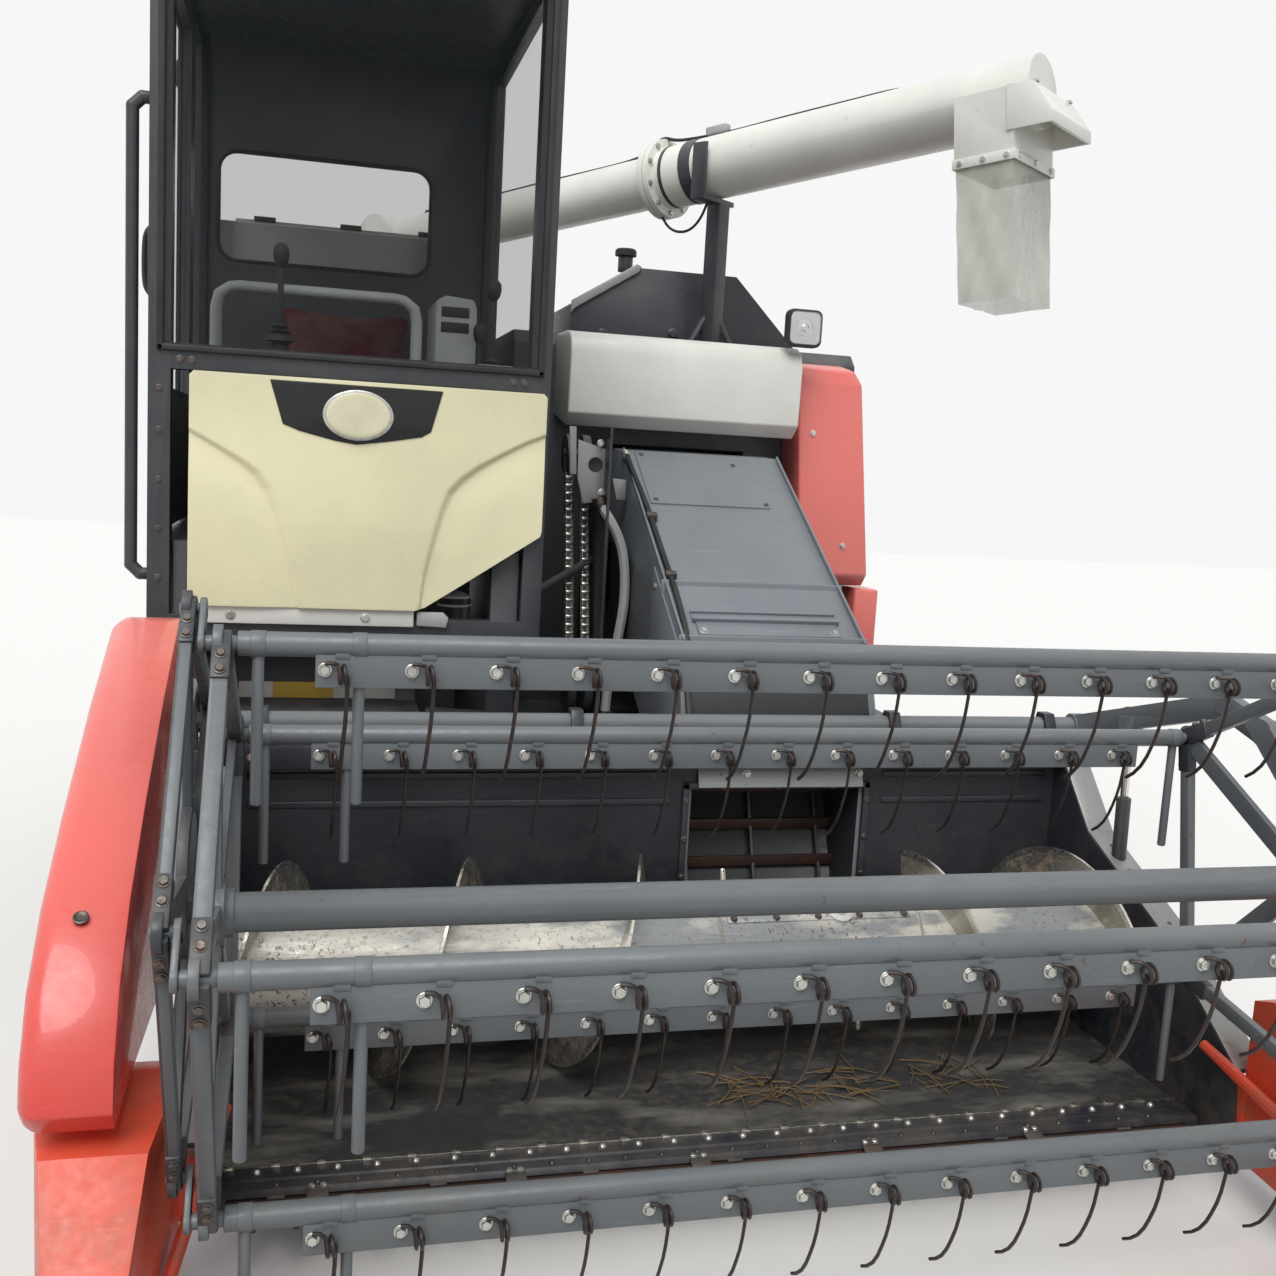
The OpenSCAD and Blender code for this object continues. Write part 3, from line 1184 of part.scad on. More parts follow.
module unload_pipe() {
    color(off_white) at_pipe() {
        translate([0, 6 - head_half, 0]) rotate([-90, 0, 0]) cylinder(r = pivot_drum_r, h = 2 * head_half - 12);
        rotate([0, 90, 0]) cylinder(r = inner_pipe_r, h = flange_s + 50);
        translate([flange_s + 26, 0, 0]) rotate([0, 90, 0]) cylinder(r = pipe_r, h = pipe_len - flange_s - 26);
        for (x = [0, 26]) translate([flange_s + x, 0, 0]) rotate([0, 90, 0]) cylinder(r = pipe_r + 32, h = 22);
        translate([0, -head_half - 20, 0]) rotate([-90, 0, 0]) cylinder(r = eye_r, h = 2 * head_half + 40);
        translate([0, -head_half + 2, 0]) rotate([-90, 0, 0]) cylinder(r = 40, h = 2 * head_half - 4);
        difference() {
            box([end_s0, -end_half, -200], [end_s1, end_half, -10]);
            box([end_s0 + 10, 10 - end_half, -201], [end_s1 - 10, end_half - 10, -120]);
        }
        end_scoop();
        for (s = [-1, 1]) {
            translate([eye_s, s * 38 - 4, -eye_drop]) rotate([-90, 0, 0]) cylinder(r = eye_r, h = 8);
            translate([eye_s, s * 32 + 5, 0]) rotate([90, 0, 0]) linear_extrude(10)
                polygon([[-60, -85], [60, -85], [22, -eye_drop - 20], [-22, -eye_drop - 20]]);
        }
    }
}
// Scoop over the end of the box, open below
module across_pipe(half) {
    translate([0, half, 0]) rotate([90, 0, 0]) linear_extrude(2 * half) children();
}
module end_scoop() {
    difference() {
        across_pipe(end_half + 6) polygon([[end_s1 - 21, -7], [end_s1 + 64, -16], [end_s1 + 119, -107],
            [end_s1 + 119, -142], [end_s1 - 21, -141]]);
        across_pipe(end_half - 2) polygon([[end_s1 + 1, -17], [end_s1 + 58, -26], [end_s1 + 109, -110],
            [end_s1 + 109, -150], [end_s1 + 1, -150]]);
    }
}
module spout_curtain() {
    color([0.80, 0.80, 0.76]) at_pipe() difference() {
        box([end_s0 + 4, 4 - end_half, -200 - curtain_len], [end_s1 - 4, end_half - 4, -200 - seat_gap]);
        box([end_s0 + 9, 9 - end_half, -201 - curtain_len], [end_s1 - 9, end_half - 9, -199]);
    }
}
function head_point(s, z) = [col_x + s * cos(pipe_yaw), col_y + s * sin(pipe_yaw), z];
function pipe_point(s, drop) = [
    col_x + (s * cos(pipe_pitch) + drop * sin(pipe_pitch)) * cos(pipe_yaw),
    col_y + (s * cos(pipe_pitch) + drop * sin(pipe_pitch)) * sin(pipe_yaw),
    pipe_z + s * sin(pipe_pitch) - drop * cos(pipe_pitch)];
unload_base = head_point(base_s, slew_z + 60);
unload_eye = pipe_point(eye_s, eye_drop);
unload_dir = (unload_eye - unload_base) / norm(unload_eye - unload_base);
module cross_pin(p, r, half) {
    translate(p) rotate([0, 0, pipe_yaw]) translate([0, -half, 0]) rotate([-90, 0, 0]) cylinder(r = r, h = 2 * half);
}
module unload_barrel() {
    color(charcoal) difference() {
        union() {
            rod(unload_base, unload_base + unload_dir * 300, 28);
            cross_pin(unload_base, 26, 30);
            cross_pin(unload_base, eye_r, 46);
        }
        rod(unload_base + unload_dir * 45, unload_base + unload_dir * 301, rod_bore(28));
    }
}
module unload_rod() {
    color(chrome) {
        rod(unload_base + unload_dir * 60, unload_eye, rod_bore(28) - run_gap);
        cross_pin(unload_eye, 24, 24);
    }
}

// Cradle that holds the pipe, tall on its front side
cradle_s = 1790;
module auger_cradle() {
    p = pipe_point(cradle_s, pipe_r);
    color(charcoal) {
        translate([p[0], p[1], 0]) rotate([0, 0, pipe_yaw]) {
            box([-30, -30, thresher_z + seat_gap], [30, 30, p[2] - 14]);
            box([-30, -pipe_r - 24, p[2] - 26], [30, pipe_r * 0.5, p[2] - 8]);
            box([-30, -pipe_r - 24, p[2] - 24], [30, -pipe_r - 12, p[2] + 170]);
        }
    }
}

seated() chassis_frame();
seated() track_left();
seated() track_right();
seated() track_frames();
seated() engine_block();
seated() drive_gear();
seated() screen_door();
seated() cab_front_panel();
seated() cab_frame();
seated() cab_roof();
seated() cab_glass();
seated() cab_door();
seated() cab_door_glass();
seated() seat();
seated() controls();
seated() handrail_steps();
seated() grain_tank();
seated() thresher_body();
seated() top_cover();
seated() front_hood();
seated() side_covers();
seated() side_panel();
seated() straw_hood();
seated() lamps();
seated() auger_column();
seated() auger_cradle();
seated() unload_elbow();
seated() unload_pipe();
seated() spout_curtain();
seated() unload_barrel();
seated() unload_rod();
seated() feeder_house();
seated() header_shell();
seated() cutterbar();
seated() knife();
seated() dividers();
seated() header_cover();
seated() header_auger();
seated() reel_arms();
seated() reel_shaft();
seated() reel_eccentric();
seated() reel_bar_1();
seated() reel_bar_2();
seated() reel_bar_3();
seated() reel_bar_4();
seated() reel_bar_5();
seated() reel_barrels();
seated() reel_rods();
seated() header_barrel();
seated() header_rod();
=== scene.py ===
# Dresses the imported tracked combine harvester: camera, light, finishes and the detailed pieces.
# The front faces -Y, +X is the machine's left and z = 0 is the ground. The functions that model
# pieces take millimetres measured from the drawing's middle line, as the part's own source does.
import json
import math
import random
import bpy
from mathutils import Matrix, Vector


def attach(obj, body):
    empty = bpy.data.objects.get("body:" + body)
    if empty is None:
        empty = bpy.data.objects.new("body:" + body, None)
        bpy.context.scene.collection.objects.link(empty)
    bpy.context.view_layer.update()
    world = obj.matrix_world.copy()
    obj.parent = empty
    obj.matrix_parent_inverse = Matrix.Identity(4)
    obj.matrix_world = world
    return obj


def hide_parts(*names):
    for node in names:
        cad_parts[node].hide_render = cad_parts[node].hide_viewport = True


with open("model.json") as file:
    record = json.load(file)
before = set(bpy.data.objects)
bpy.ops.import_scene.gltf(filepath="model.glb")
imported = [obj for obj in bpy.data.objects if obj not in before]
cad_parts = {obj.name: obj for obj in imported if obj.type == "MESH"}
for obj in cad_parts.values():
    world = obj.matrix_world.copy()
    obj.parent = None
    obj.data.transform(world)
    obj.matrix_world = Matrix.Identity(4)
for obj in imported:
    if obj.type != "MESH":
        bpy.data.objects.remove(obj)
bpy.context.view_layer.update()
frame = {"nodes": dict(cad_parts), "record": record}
nodes = frame["nodes"]
BODY_OF = {n: body for body, names in frame["record"]["behaviour"]["bodies"].items() for n in names}

MM = 0.001
ORIGIN_SHIFT = 42


def at(p):
    return Vector((p[0] + ORIGIN_SHIFT, p[1], p[2])) * MM


# Camera, fitted to the photograph: turns in degrees, place in millimetres, lens in pixels
CAMERA_TURNS = (14.44713824, -7.7, 3.26156533)
CAMERA_PLACE = (-988.5, -4073, 1550)
PHOTO_WIDTH, LENS_PIXELS, SENSOR = 1276, 1308.149, 36


def set_camera():
    yaw, pitch, roll = (math.radians(a) for a in CAMERA_TURNS)
    forward = Vector((math.sin(yaw) * math.cos(pitch), math.cos(yaw) * math.cos(pitch), math.sin(pitch)))
    level = Vector((math.cos(yaw), -math.sin(yaw), 0))
    over = level.cross(forward)
    right = math.cos(roll) * level + math.sin(roll) * over
    up = -math.sin(roll) * level + math.cos(roll) * over
    bpy.ops.object.camera_add()
    cam = bpy.context.object
    cam.name = "photo_camera"
    turn = Matrix((right, up, -forward)).transposed()
    cam.matrix_world = Matrix.Translation(at(CAMERA_PLACE)) @ turn.to_4x4()
    cam.data.sensor_width = SENSOR
    cam.data.lens = LENS_PIXELS / PHOTO_WIDTH * SENSOR
    cam.data.clip_end = 60
    bpy.context.scene.camera = cam


# 1 for the rays that come from the camera, off metal or through glass, 0 for the light itself
def looking_rays(tree):
    path = tree.nodes.new("ShaderNodeLightPath")
    seen = path.outputs["Is Camera Ray"]
    for ray in ("Is Glossy Ray", "Is Transmission Ray"):
        either = tree.nodes.new("ShaderNodeMath")
        either.operation = "MAXIMUM"
        tree.links.new(seen, either.inputs[0])
        tree.links.new(path.outputs[ray], either.inputs[1])
        seen = either.outputs[0]
    return seen


# Soft overcast light, with a white page behind the machine
def set_light():
    scene = bpy.context.scene
    scene.view_settings.view_transform = "Standard"
    world = bpy.data.worlds.new("overcast")
    scene.world = world
    world.use_nodes = True
    tree = world.node_tree
    tree.nodes.clear()
    out = tree.nodes.new("ShaderNodeOutputWorld")
    mix = tree.nodes.new("ShaderNodeMixShader")
    sky = tree.nodes.new("ShaderNodeBackground")
    sky.inputs[0].default_value = (0.86, 0.90, 0.96, 1)
    sky.inputs[1].default_value = 0.72
    page = tree.nodes.new("ShaderNodeBackground")
    page.inputs[0].default_value = (0.93, 0.93, 0.93, 1)
    tree.links.new(looking_rays(tree), mix.inputs[0])
    tree.links.new(sky.outputs[0], mix.inputs[1])
    tree.links.new(page.outputs[0], mix.inputs[2])
    tree.links.new(mix.outputs[0], out.inputs[0])
    bpy.ops.object.light_add(type="SUN", rotation=(math.radians(32), math.radians(-18), 0))
    sun = bpy.context.object
    sun.name = "soft_sun"
    sun.data.energy = 2.3
    sun.data.angle = math.radians(40)


# Linear colour from the 0 to 255 values that a colour chart gives
def srgb(r, g, b):
    return tuple(((c / 255 + 0.055) / 1.055) ** 2.4 if c > 10 else c / 255 / 12.92 for c in (r, g, b))


class Finish:
    """Lays out the shader of one finish."""

    def __init__(self, name):
        self.mat = bpy.data.materials.new(name)
        self.mat.use_nodes = True
        self.tree = self.mat.node_tree
        self.tree.nodes.clear()
        self.out = self.tree.nodes.new("ShaderNodeOutputMaterial")
        self.skin = self.tree.nodes.new("ShaderNodeBsdfPrincipled")
        self.tree.links.new(self.skin.outputs[0], self.out.inputs[0])
        self.where = self.tree.nodes.new("ShaderNodeTexCoord")

    def link(self, a, b):
        self.tree.links.new(a, b)

    def grain(self, scale, detail=4, rough=0.55, stretch=None):
        n = self.tree.nodes.new("ShaderNodeTexNoise")
        n.inputs["Scale"].default_value = scale
        n.inputs["Detail"].default_value = detail
        n.inputs["Roughness"].default_value = rough
        source = self.where.outputs["Object"]
        if stretch:
            m = self.tree.nodes.new("ShaderNodeMapping")
            m.inputs["Scale"].default_value = stretch
            self.link(source, m.inputs[0])
            source = m.outputs[0]
        self.link(source, n.inputs["Vector"])
        return n.outputs[0]

    def ramp(self, source, lo, hi, a=0.0, b=1.0):
        n = self.tree.nodes.new("ShaderNodeMapRange")
        n.inputs["From Min"].default_value = lo
        n.inputs["From Max"].default_value = hi
        n.inputs["To Min"].default_value = a
        n.inputs["To Max"].default_value = b
        self.link(source, n.inputs["Value"])
        return n.outputs[0]

    def math(self, kind, a, b=None, c=None):
        n = self.tree.nodes.new("ShaderNodeMath")
        n.operation = kind
        for socket, value in zip(n.inputs, (a, b, c)):
            if isinstance(value, (int, float)):
                socket.default_value = value
            elif value is not None:
                self.link(value, socket)
        return n.outputs[0]

    def mix(self, amount, a, b):
        n = self.tree.nodes.new("ShaderNodeMix")
        n.data_type = "RGBA"
        if isinstance(amount, (int, float)):
            n.inputs[0].default_value = amount
        else:
            self.link(amount, n.inputs[0])
        for socket, value in ((n.inputs[6], a), (n.inputs[7], b)):
            if isinstance(value, tuple):
                socket.default_value = (*value[:3], 1)
            else:
                self.link(value, socket)
        return n.outputs[2]

    def place(self, kind="Object"):
        n = self.tree.nodes.new("ShaderNodeSeparateXYZ")
        self.link(self.where.outputs[kind], n.inputs[0])
        return n.outputs

    # 1 inside a box given in millimetres, 0 outside
    def inside(self, lo, hi):
        a, b = at(lo), at(hi)
        result = None
        for socket, u, v in zip(self.place(), a, b):
            hit = self.math("COMPARE", socket, (u + v) / 2, abs(v - u) / 2)
            result = hit if result is None else self.math("MULTIPLY", result, hit)
        return result

    def bump(self, height, strength, distance=0.002):
        n = self.tree.nodes.new("ShaderNodeBump")
        n.inputs["Strength"].default_value = strength
        n.inputs["Distance"].default_value = distance
        self.link(height, n.inputs["Height"])
        self.link(n.outputs[0], self.skin.inputs["Normal"])


DUST = srgb(150, 143, 128)
MUD = srgb(120, 104, 84)
RUST = srgb(110, 66, 40)
# Boxes inside which the paint is darkened to near black as painted shade: the cab's interior and the feeder's
# mouth, hollows that lie in shadow
CAB_SHADE_BOX = ((-1336, -672, 1300), (-412, 444, 2788))
MOUTH_SHADE_BOX = ((-38, -952, 335), (458, -600, 976))


# Painted sheet: broad tone shifts, dust on what faces up, fine scratches, chips, low mud and painted shade
# inside an optional box
def paint(name, colour, rough=0.42, metal=0.0, dust=0.35, scratch=0.25, chips=0.15, chip=None,
          mud=0.25, coat=0.0, shade_box=None, paler_up=None):
    f = Finish(name)
    tone = f.ramp(f.grain(1.7, 5), 0.3, 0.7)
    col = f.mix(tone, tuple(c * 0.84 for c in colour), tuple(min(c * 1.1, 1) for c in colour))
    # Paler towards the top: the colour blends towards the given one with height
    if paler_up:
        high = f.ramp(f.place()[2], paler_up[0], paler_up[1])
        col = f.mix(f.math("MULTIPLY", high, 0.75), col, paler_up[2])
    fine = f.grain(55, 3)
    lines = f.ramp(f.grain(9, 6, 0.6, (1, 14, 14)), 0.62, 0.70, 0, scratch)
    col = f.mix(lines, col, tuple(min(c * 1.5 + 0.05, 1) for c in colour))
    if chips:
        spots = f.math("MULTIPLY", f.ramp(f.grain(38, 5, 0.7), 0.64, 0.68),
                       f.ramp(f.grain(4, 2), 0.45, 0.6))
        col = f.mix(f.math("MULTIPLY", spots, chips * 4), col, chip or RUST)
    up = f.ramp(f.place("Normal")[2], 0.1, 0.9)
    patch = f.ramp(f.grain(6, 7, 0.65), 0.35, 0.72)
    veil = f.math("MULTIPLY", f.math("ADD", f.math("MULTIPLY", up, 0.7), 0.3), patch)
    veil = f.math("MULTIPLY", veil, dust)
    col = f.mix(veil, col, DUST)
    low = f.ramp(f.place()[2], 0.75, 0.08)
    soil = f.math("MULTIPLY", f.math("MULTIPLY", low, f.ramp(f.grain(11, 6, 0.7), 0.45, 0.6)), mud)
    col = f.mix(soil, col, MUD)
    # Painted shade: near-black colour inside the given box, standing for the shadow in a hollow
    if shade_box:
        col = f.mix(f.math("MULTIPLY", f.inside(*shade_box), 0.9), col, srgb(20, 20, 22))
    f.link(col, f.skin.inputs["Base Color"])
    r = f.math("ADD", f.ramp(fine, 0.3, 0.7, rough - 0.08, rough + 0.1),
               f.math("MULTIPLY", veil, 0.4))
    f.link(r, f.skin.inputs["Roughness"])
    f.skin.inputs["Metallic"].default_value = metal
    f.skin.inputs["Coat Weight"].default_value = coat
    f.bump(f.grain(260, 2), 0.12, 0.0006)
    return f.mat


# Bare steel with rust in patches and spots
def bare_metal(name, colour, rough=0.32, rust=0.3, rust_scale=30, metal=0.9, rust_colour=RUST,
               cover=(0.50, 0.62), patch=None, patch_at=(0.48, 0.56)):
    f = Finish(name)
    tone = f.ramp(f.grain(3.1, 6), 0.3, 0.7)
    col = f.mix(tone, tuple(c * 0.7 for c in colour), tuple(min(c * 1.15, 1) for c in colour))
    if patch:
        col = f.mix(f.ramp(f.grain(4.3, 7, 0.6, (0.6, 1.6, 1.6)), *patch_at), col, patch)
    spots = f.math("MULTIPLY", f.ramp(f.grain(rust_scale, 6, 0.7), *cover),
                   f.ramp(f.grain(2.3, 3), 0.35, 0.6))
    spots = f.math("MULTIPLY", spots, rust)
    col = f.mix(spots, col, rust_colour)
    f.link(col, f.skin.inputs["Base Color"])
    f.link(f.math("SUBTRACT", metal, f.math("MULTIPLY", spots, metal)), f.skin.inputs["Metallic"])
    streak = f.grain(24, 4, 0.6, (1, 8, 8))
    r = f.math("ADD", f.ramp(streak, 0.3, 0.7, rough - 0.1, rough + 0.14),
               f.math("MULTIPLY", spots, 0.4))
    f.link(r, f.skin.inputs["Roughness"])
    f.bump(f.math("ADD", streak, f.math("MULTIPLY", spots, 0.6)), 0.2, 0.001)
    return f.mat


# Rubber, plastic and other plain stuff with a fine grain
def plain(name, colour, rough=0.5, grain=120, bump=0.25, metal=0.0, alpha=1.0, wash=0.15, dust=0.0):
    f = Finish(name)
    tone = f.ramp(f.grain(5, 5), 0.3, 0.7)
    col = f.mix(tone, tuple(c * (1 - wash) for c in colour), tuple(min(c * (1 + wash), 1) for c in colour))
    if dust:
        col = f.mix(f.ramp(f.grain(9, 6, 0.65), 0.4, 0.7, 0, dust), col, DUST)
    f.link(col, f.skin.inputs["Base Color"])
    f.link(f.ramp(f.grain(18, 4), 0.3, 0.7, rough - 0.06, rough + 0.08), f.skin.inputs["Roughness"])
    f.skin.inputs["Metallic"].default_value = metal
    f.skin.inputs["Alpha"].default_value = alpha
    f.bump(f.grain(grain, 3), bump, 0.001)
    return f.mat


# Woven seat cloth: two crossed sets of threads
def woven(name, colour, dark, threads=420):
    f = Finish(name)
    waves = []
    for axis in (0, 2):
        waves.append(f.math("SINE", f.math("MULTIPLY", f.place()[axis], threads * 6.28)))
    weave = f.ramp(f.math("ADD", *waves), -1.6, 1.6)
    col = f.mix(weave, dark, colour)
    col = f.mix(f.ramp(f.grain(7, 5), 0.45, 0.75, 0, 0.35), col, DUST)
    f.link(col, f.skin.inputs["Base Color"])
    f.link(f.ramp(f.grain(30, 3), 0.3, 0.7, 0.75, 0.95), f.skin.inputs["Roughness"])
    f.bump(weave, 0.4, 0.0006)
    return f.mat


def glass(name, colour, alpha, rough=0.03, shine=0.5):
    f = Finish(name)
    f.skin.inputs["Base Color"].default_value = (*colour, 1)
    f.link(f.ramp(f.grain(3, 5), 0.3, 0.8, rough, rough + 0.08), f.skin.inputs["Roughness"])
    f.skin.inputs["Alpha"].default_value = alpha
    f.skin.inputs["IOR"].default_value = 1.5
    f.skin.inputs["Specular IOR Level"].default_value = shine
    return f.mat


FINISH = {
    # Charcoal and feeder grey turn to painted shade inside the cab and the feeder's mouth
    "charcoal": paint("charcoal_paint", srgb(50, 53, 59), 0.40, dust=0.30, scratch=0.2, chips=0.1,
                      shade_box=CAB_SHADE_BOX),
    "inside": paint("header_grey_paint", srgb(34, 38, 46), 0.42, dust=0.14, scratch=0.35, chips=0.05,
                    chip=srgb(120, 120, 118)),
    "reel": paint("reel_grey_paint", srgb(104, 109, 112), 0.38, dust=0.20, scratch=0.3, chips=0.2,
                  mud=0.15, chip=srgb(96, 62, 46)),
    "feeder": paint("feeder_grey_paint", srgb(116, 121, 126), 0.38, dust=0.2, scratch=0.4, chips=0.1,
                    shade_box=MOUTH_SHADE_BOX),
    "sheet": paint("bare_grey_sheet", srgb(150, 152, 150), 0.35, metal=0.4, dust=0.3, scratch=0.3,
                   chips=0.3),
    "body": paint("thresher_grey_paint", srgb(64, 67, 72), 0.45, dust=0.4, scratch=0.2, chips=0.1),
    "cream": paint("cream_paint", srgb(236, 229, 188), 0.30, dust=0.04, scratch=0.05, chips=0.0,
                   mud=0.0, coat=0.3),
    "white": paint("off_white_paint", srgb(228, 226, 217), 0.36, dust=0.16, scratch=0.12, chips=0.05,
                   mud=0.0, coat=0.15),
    # The red cover grows paler towards its top
    "red": paint("red_cover_paler_up", srgb(224, 70, 62), 0.30, dust=0.08, scratch=0.2, chips=0.03,
                 chip=srgb(240, 160, 150), mud=0.0, coat=0.25, paler_up=(0.55, 1.15, srgb(235, 132, 122))),
    "orange": paint("orange_red_paint", srgb(226, 74, 44), 0.36, dust=0.2, scratch=0.4, chips=0.2,
                    chip=srgb(80, 60, 50), mud=0.5),
    "rubber": plain("track_rubber", srgb(40, 39, 38), 0.8, 90, 0.5, wash=0.3, dust=0.35),
    "iron": paint("engine_paint", srgb(70, 72, 75), 0.5, dust=0.5, mud=0.3),
    "drum": bare_metal("worn_drum", srgb(214, 210, 198), 0.32, 0.9, 95, 0.35, srgb(92, 66, 44),
                       (0.56, 0.60), srgb(150, 152, 152)),
    "worn": bare_metal("worn_flight", srgb(176, 172, 162), 0.28, 0.9, 26, 0.85, srgb(140, 100, 56)),
    "bright": bare_metal("polished_edge", srgb(214, 210, 200), 0.22, 0.3, 60, 0.95),
    "floor": bare_metal("worn_floor", srgb(74, 76, 76), 0.42, 0.5, 34, 0.3, srgb(104, 90, 72),
                        (0.46, 0.6), srgb(150, 147, 138), (0.50, 0.68)),
    "knife": bare_metal("knife_steel", srgb(104, 84, 76), 0.4, 0.9, 26, 0.6, srgb(96, 44, 30)),
    "tine": bare_metal("tine_steel", srgb(56, 50, 48), 0.42, 0.8, 60, 0.5, srgb(74, 48, 36)),
    "bolt": bare_metal("zinc_bolts", srgb(196, 196, 190), 0.3, 0.3, 80),
    "dark_bolt": bare_metal("dark_bolts", srgb(96, 92, 88), 0.4, 0.6, 80),
    "straw": plain("dry_straw", srgb(128, 104, 70), 0.8, wash=0.4),
    "chrome": bare_metal("chromed_rod", srgb(215, 215, 215), 0.12, 0.1, 60, 1.0),
    "cylinder": paint("cylinder_paint", srgb(38, 40, 45), 0.38, dust=0.35, chips=0.15),
    "seat": woven("seat_cloth", srgb(110, 30, 34), srgb(58, 12, 16)),
    "grey": plain("grey_plastic", srgb(172, 174, 172), 0.5, dust=0.2),
    "black": plain("black_rubber", srgb(22, 22, 24), 0.6, dust=0.08),
    "emblem": plain("black_trim", srgb(16, 16, 18), 0.25, 300, 0.05),
    "badge": plain("cream_badge", srgb(226, 220, 186), 0.3, 200, 0.05),
    "strip_white": plain("pale_band", srgb(222, 220, 210), 0.45, dust=0.2),
    "strip_yellow": plain("yellow_band", srgb(214, 176, 60), 0.45, dust=0.2),
    "glass": glass("window_glass", (0.015, 0.02, 0.022), 0.14, 0.03, 0.2),
    "lens": glass("lamp_lens", (0.8, 0.82, 0.82), 0.22, 0.05),
    "clear": plain("clear_sheet", srgb(214, 212, 200), 0.28, 30, 0.35, alpha=0.4, dust=0.18),
}

# The solids' nodes by finish
CAD_FINISH = {
    "charcoal": ["chassis_frame", "track_frames", "drive_gear", "cab_frame", "cab_door", "cab_roof",
                 "screen_door", "handrail_steps", "top_cover", "straw_hood", "auger_cradle", "lamps",
                 "reel_eccentric", "cutterbar"],
    "cylinder": ["unload_barrel", "reel_barrels", "header_barrel"],
    "inside": ["header_shell"],
    "rubber": ["track_left", "track_right"],
    "iron": ["engine_block"],
    "cream": ["cab_front_panel"],
    "glass": ["cab_glass", "cab_door_glass"],
    "seat": ["seat"],
    "grey": ["controls"],
    "white": ["grain_tank", "front_hood", "side_panel", "auger_column", "unload_elbow", "unload_pipe"],
    "feeder": ["feeder_house"],
    "body": ["thresher_body"],
    "reel": ["reel_arms", "reel_shaft", "reel_bar_1", "reel_bar_2", "reel_bar_3", "reel_bar_4", "reel_bar_5"],
    "red": ["side_covers", "header_cover"],
    "orange": ["dividers"],
    "drum": ["header_auger"],
    "knife": ["knife"],
    "clear": ["spout_curtain"],
    "chrome": ["unload_rod", "reel_rods", "header_rod"],
}
for key, names in CAD_FINISH.items():
    for n in names:
        data = nodes[n].data
        data.materials.clear()
        data.materials.append(FINISH[key])


# Selecting, opening and closing a mesh, applying
def clear():
    bpy.ops.object.select_all(action="DESELECT")


def only(obj):
    clear()
    obj.select_set(True)
    bpy.context.view_layer.objects.active = obj
    return obj


def open_mesh(select="SELECT"):
    bpy.ops.object.mode_set(mode="EDIT")
    bpy.ops.mesh.select_all(action=select)


def close_mesh():
    bpy.ops.object.mode_set(mode="OBJECT")


# Turns all faces outwards and leaves the mesh
def close_outwards():
    bpy.ops.mesh.select_all(action="SELECT")
    bpy.ops.mesh.normals_make_consistent(inside=False)
    close_mesh()


# Puts the object's place, turn and size into its mesh
def settle(obj):
    only(obj)
    bpy.ops.object.transform_apply(location=True, rotation=True, scale=True)
    return obj


def apply_last(obj):
    only(obj)
    bpy.ops.object.modifier_apply(modifier=obj.modifiers[-1].name)
    return obj


def rounded(obj, width, steps=2, angle=35):
    m = obj.modifiers.new("edges", "BEVEL")
    m.width = width * MM
    m.segments = steps
    m.limit_method = "ANGLE"
    m.angle_limit = math.radians(angle)
    return apply_last(obj)


# Names a finished piece, gives it its finish and hangs it on its body
def dress(obj, name, finish, body, replaces=(), smooth=35):
    settle(obj)
    if smooth:
        bpy.ops.object.shade_smooth_by_angle(angle=math.radians(smooth))
    obj.name = name
    obj.data.name = name
    obj.data.materials.clear()
    obj.data.materials.append(FINISH[finish])
    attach(obj, body)
    if replaces:
        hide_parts(*replaces)
    return obj


def twin(obj):
    c = obj.copy()
    c.data = obj.data.copy()
    bpy.context.scene.collection.objects.link(c)
    return c


def together(objs):
    clear()
    for o in objs:
        o.select_set(True)
    bpy.context.view_layer.objects.active = objs[0]
    if len(objs) > 1:
        bpy.ops.object.join()
    return settle(bpy.context.object)


# Copies of one modelled piece, moved by the given steps, as one object
def spread(obj, steps):
    made = []
    for step in steps:
        c = twin(obj)
        c.location = Vector(step) * MM
        made.append(c)
    bpy.data.objects.remove(obj)
    return together(made)


# Block between two corners
def block(lo, hi, edge=0.0, steps=2):
    clear()
    a, b = at(lo), at(hi)
    bpy.ops.mesh.primitive_cube_add(size=1, location=(a + b) / 2, scale=b - a)
    o = settle(bpy.context.object)
    return rounded(o, edge, steps) if edge else o


# Round bar from p to q
def rod(p, q, r, sides=32, edge=0.0):
    clear()
    a, b = at(p), at(q)
    v = b - a
    bpy.ops.mesh.primitive_cylinder_add(vertices=sides, radius=r * MM, depth=v.length,
                                        location=(a + b) / 2,
                                        rotation=v.to_track_quat("Z", "Y").to_euler())
    o = settle(bpy.context.object)
    return rounded(o, edge, 2, 50) if edge else o


# Turned piece: a disc extruded and scaled ring by ring; rings are (distance along, radius)
def turned(p, way, rings, sides=32):
    clear()
    way = Vector(way).normalized()
    start = at(p)
    s0, r0 = rings[0]
    bpy.ops.mesh.primitive_circle_add(vertices=sides, radius=r0 * MM, fill_type="NGON",
                                      location=start + way * s0 * MM,
                                      rotation=way.to_track_quat("Z", "Y").to_euler())
    o = settle(bpy.context.object)
    open_mesh()
    for (sa, ra), (sb, rb) in zip(rings, rings[1:]):
        bpy.ops.mesh.extrude_region_move(TRANSFORM_OT_translate={"value": way * (sb - sa) * MM})
        k = rb / ra
        bpy.ops.transform.resize(value=(k, k, k), center_override=start + way * sb * MM)
    close_outwards()
    return o


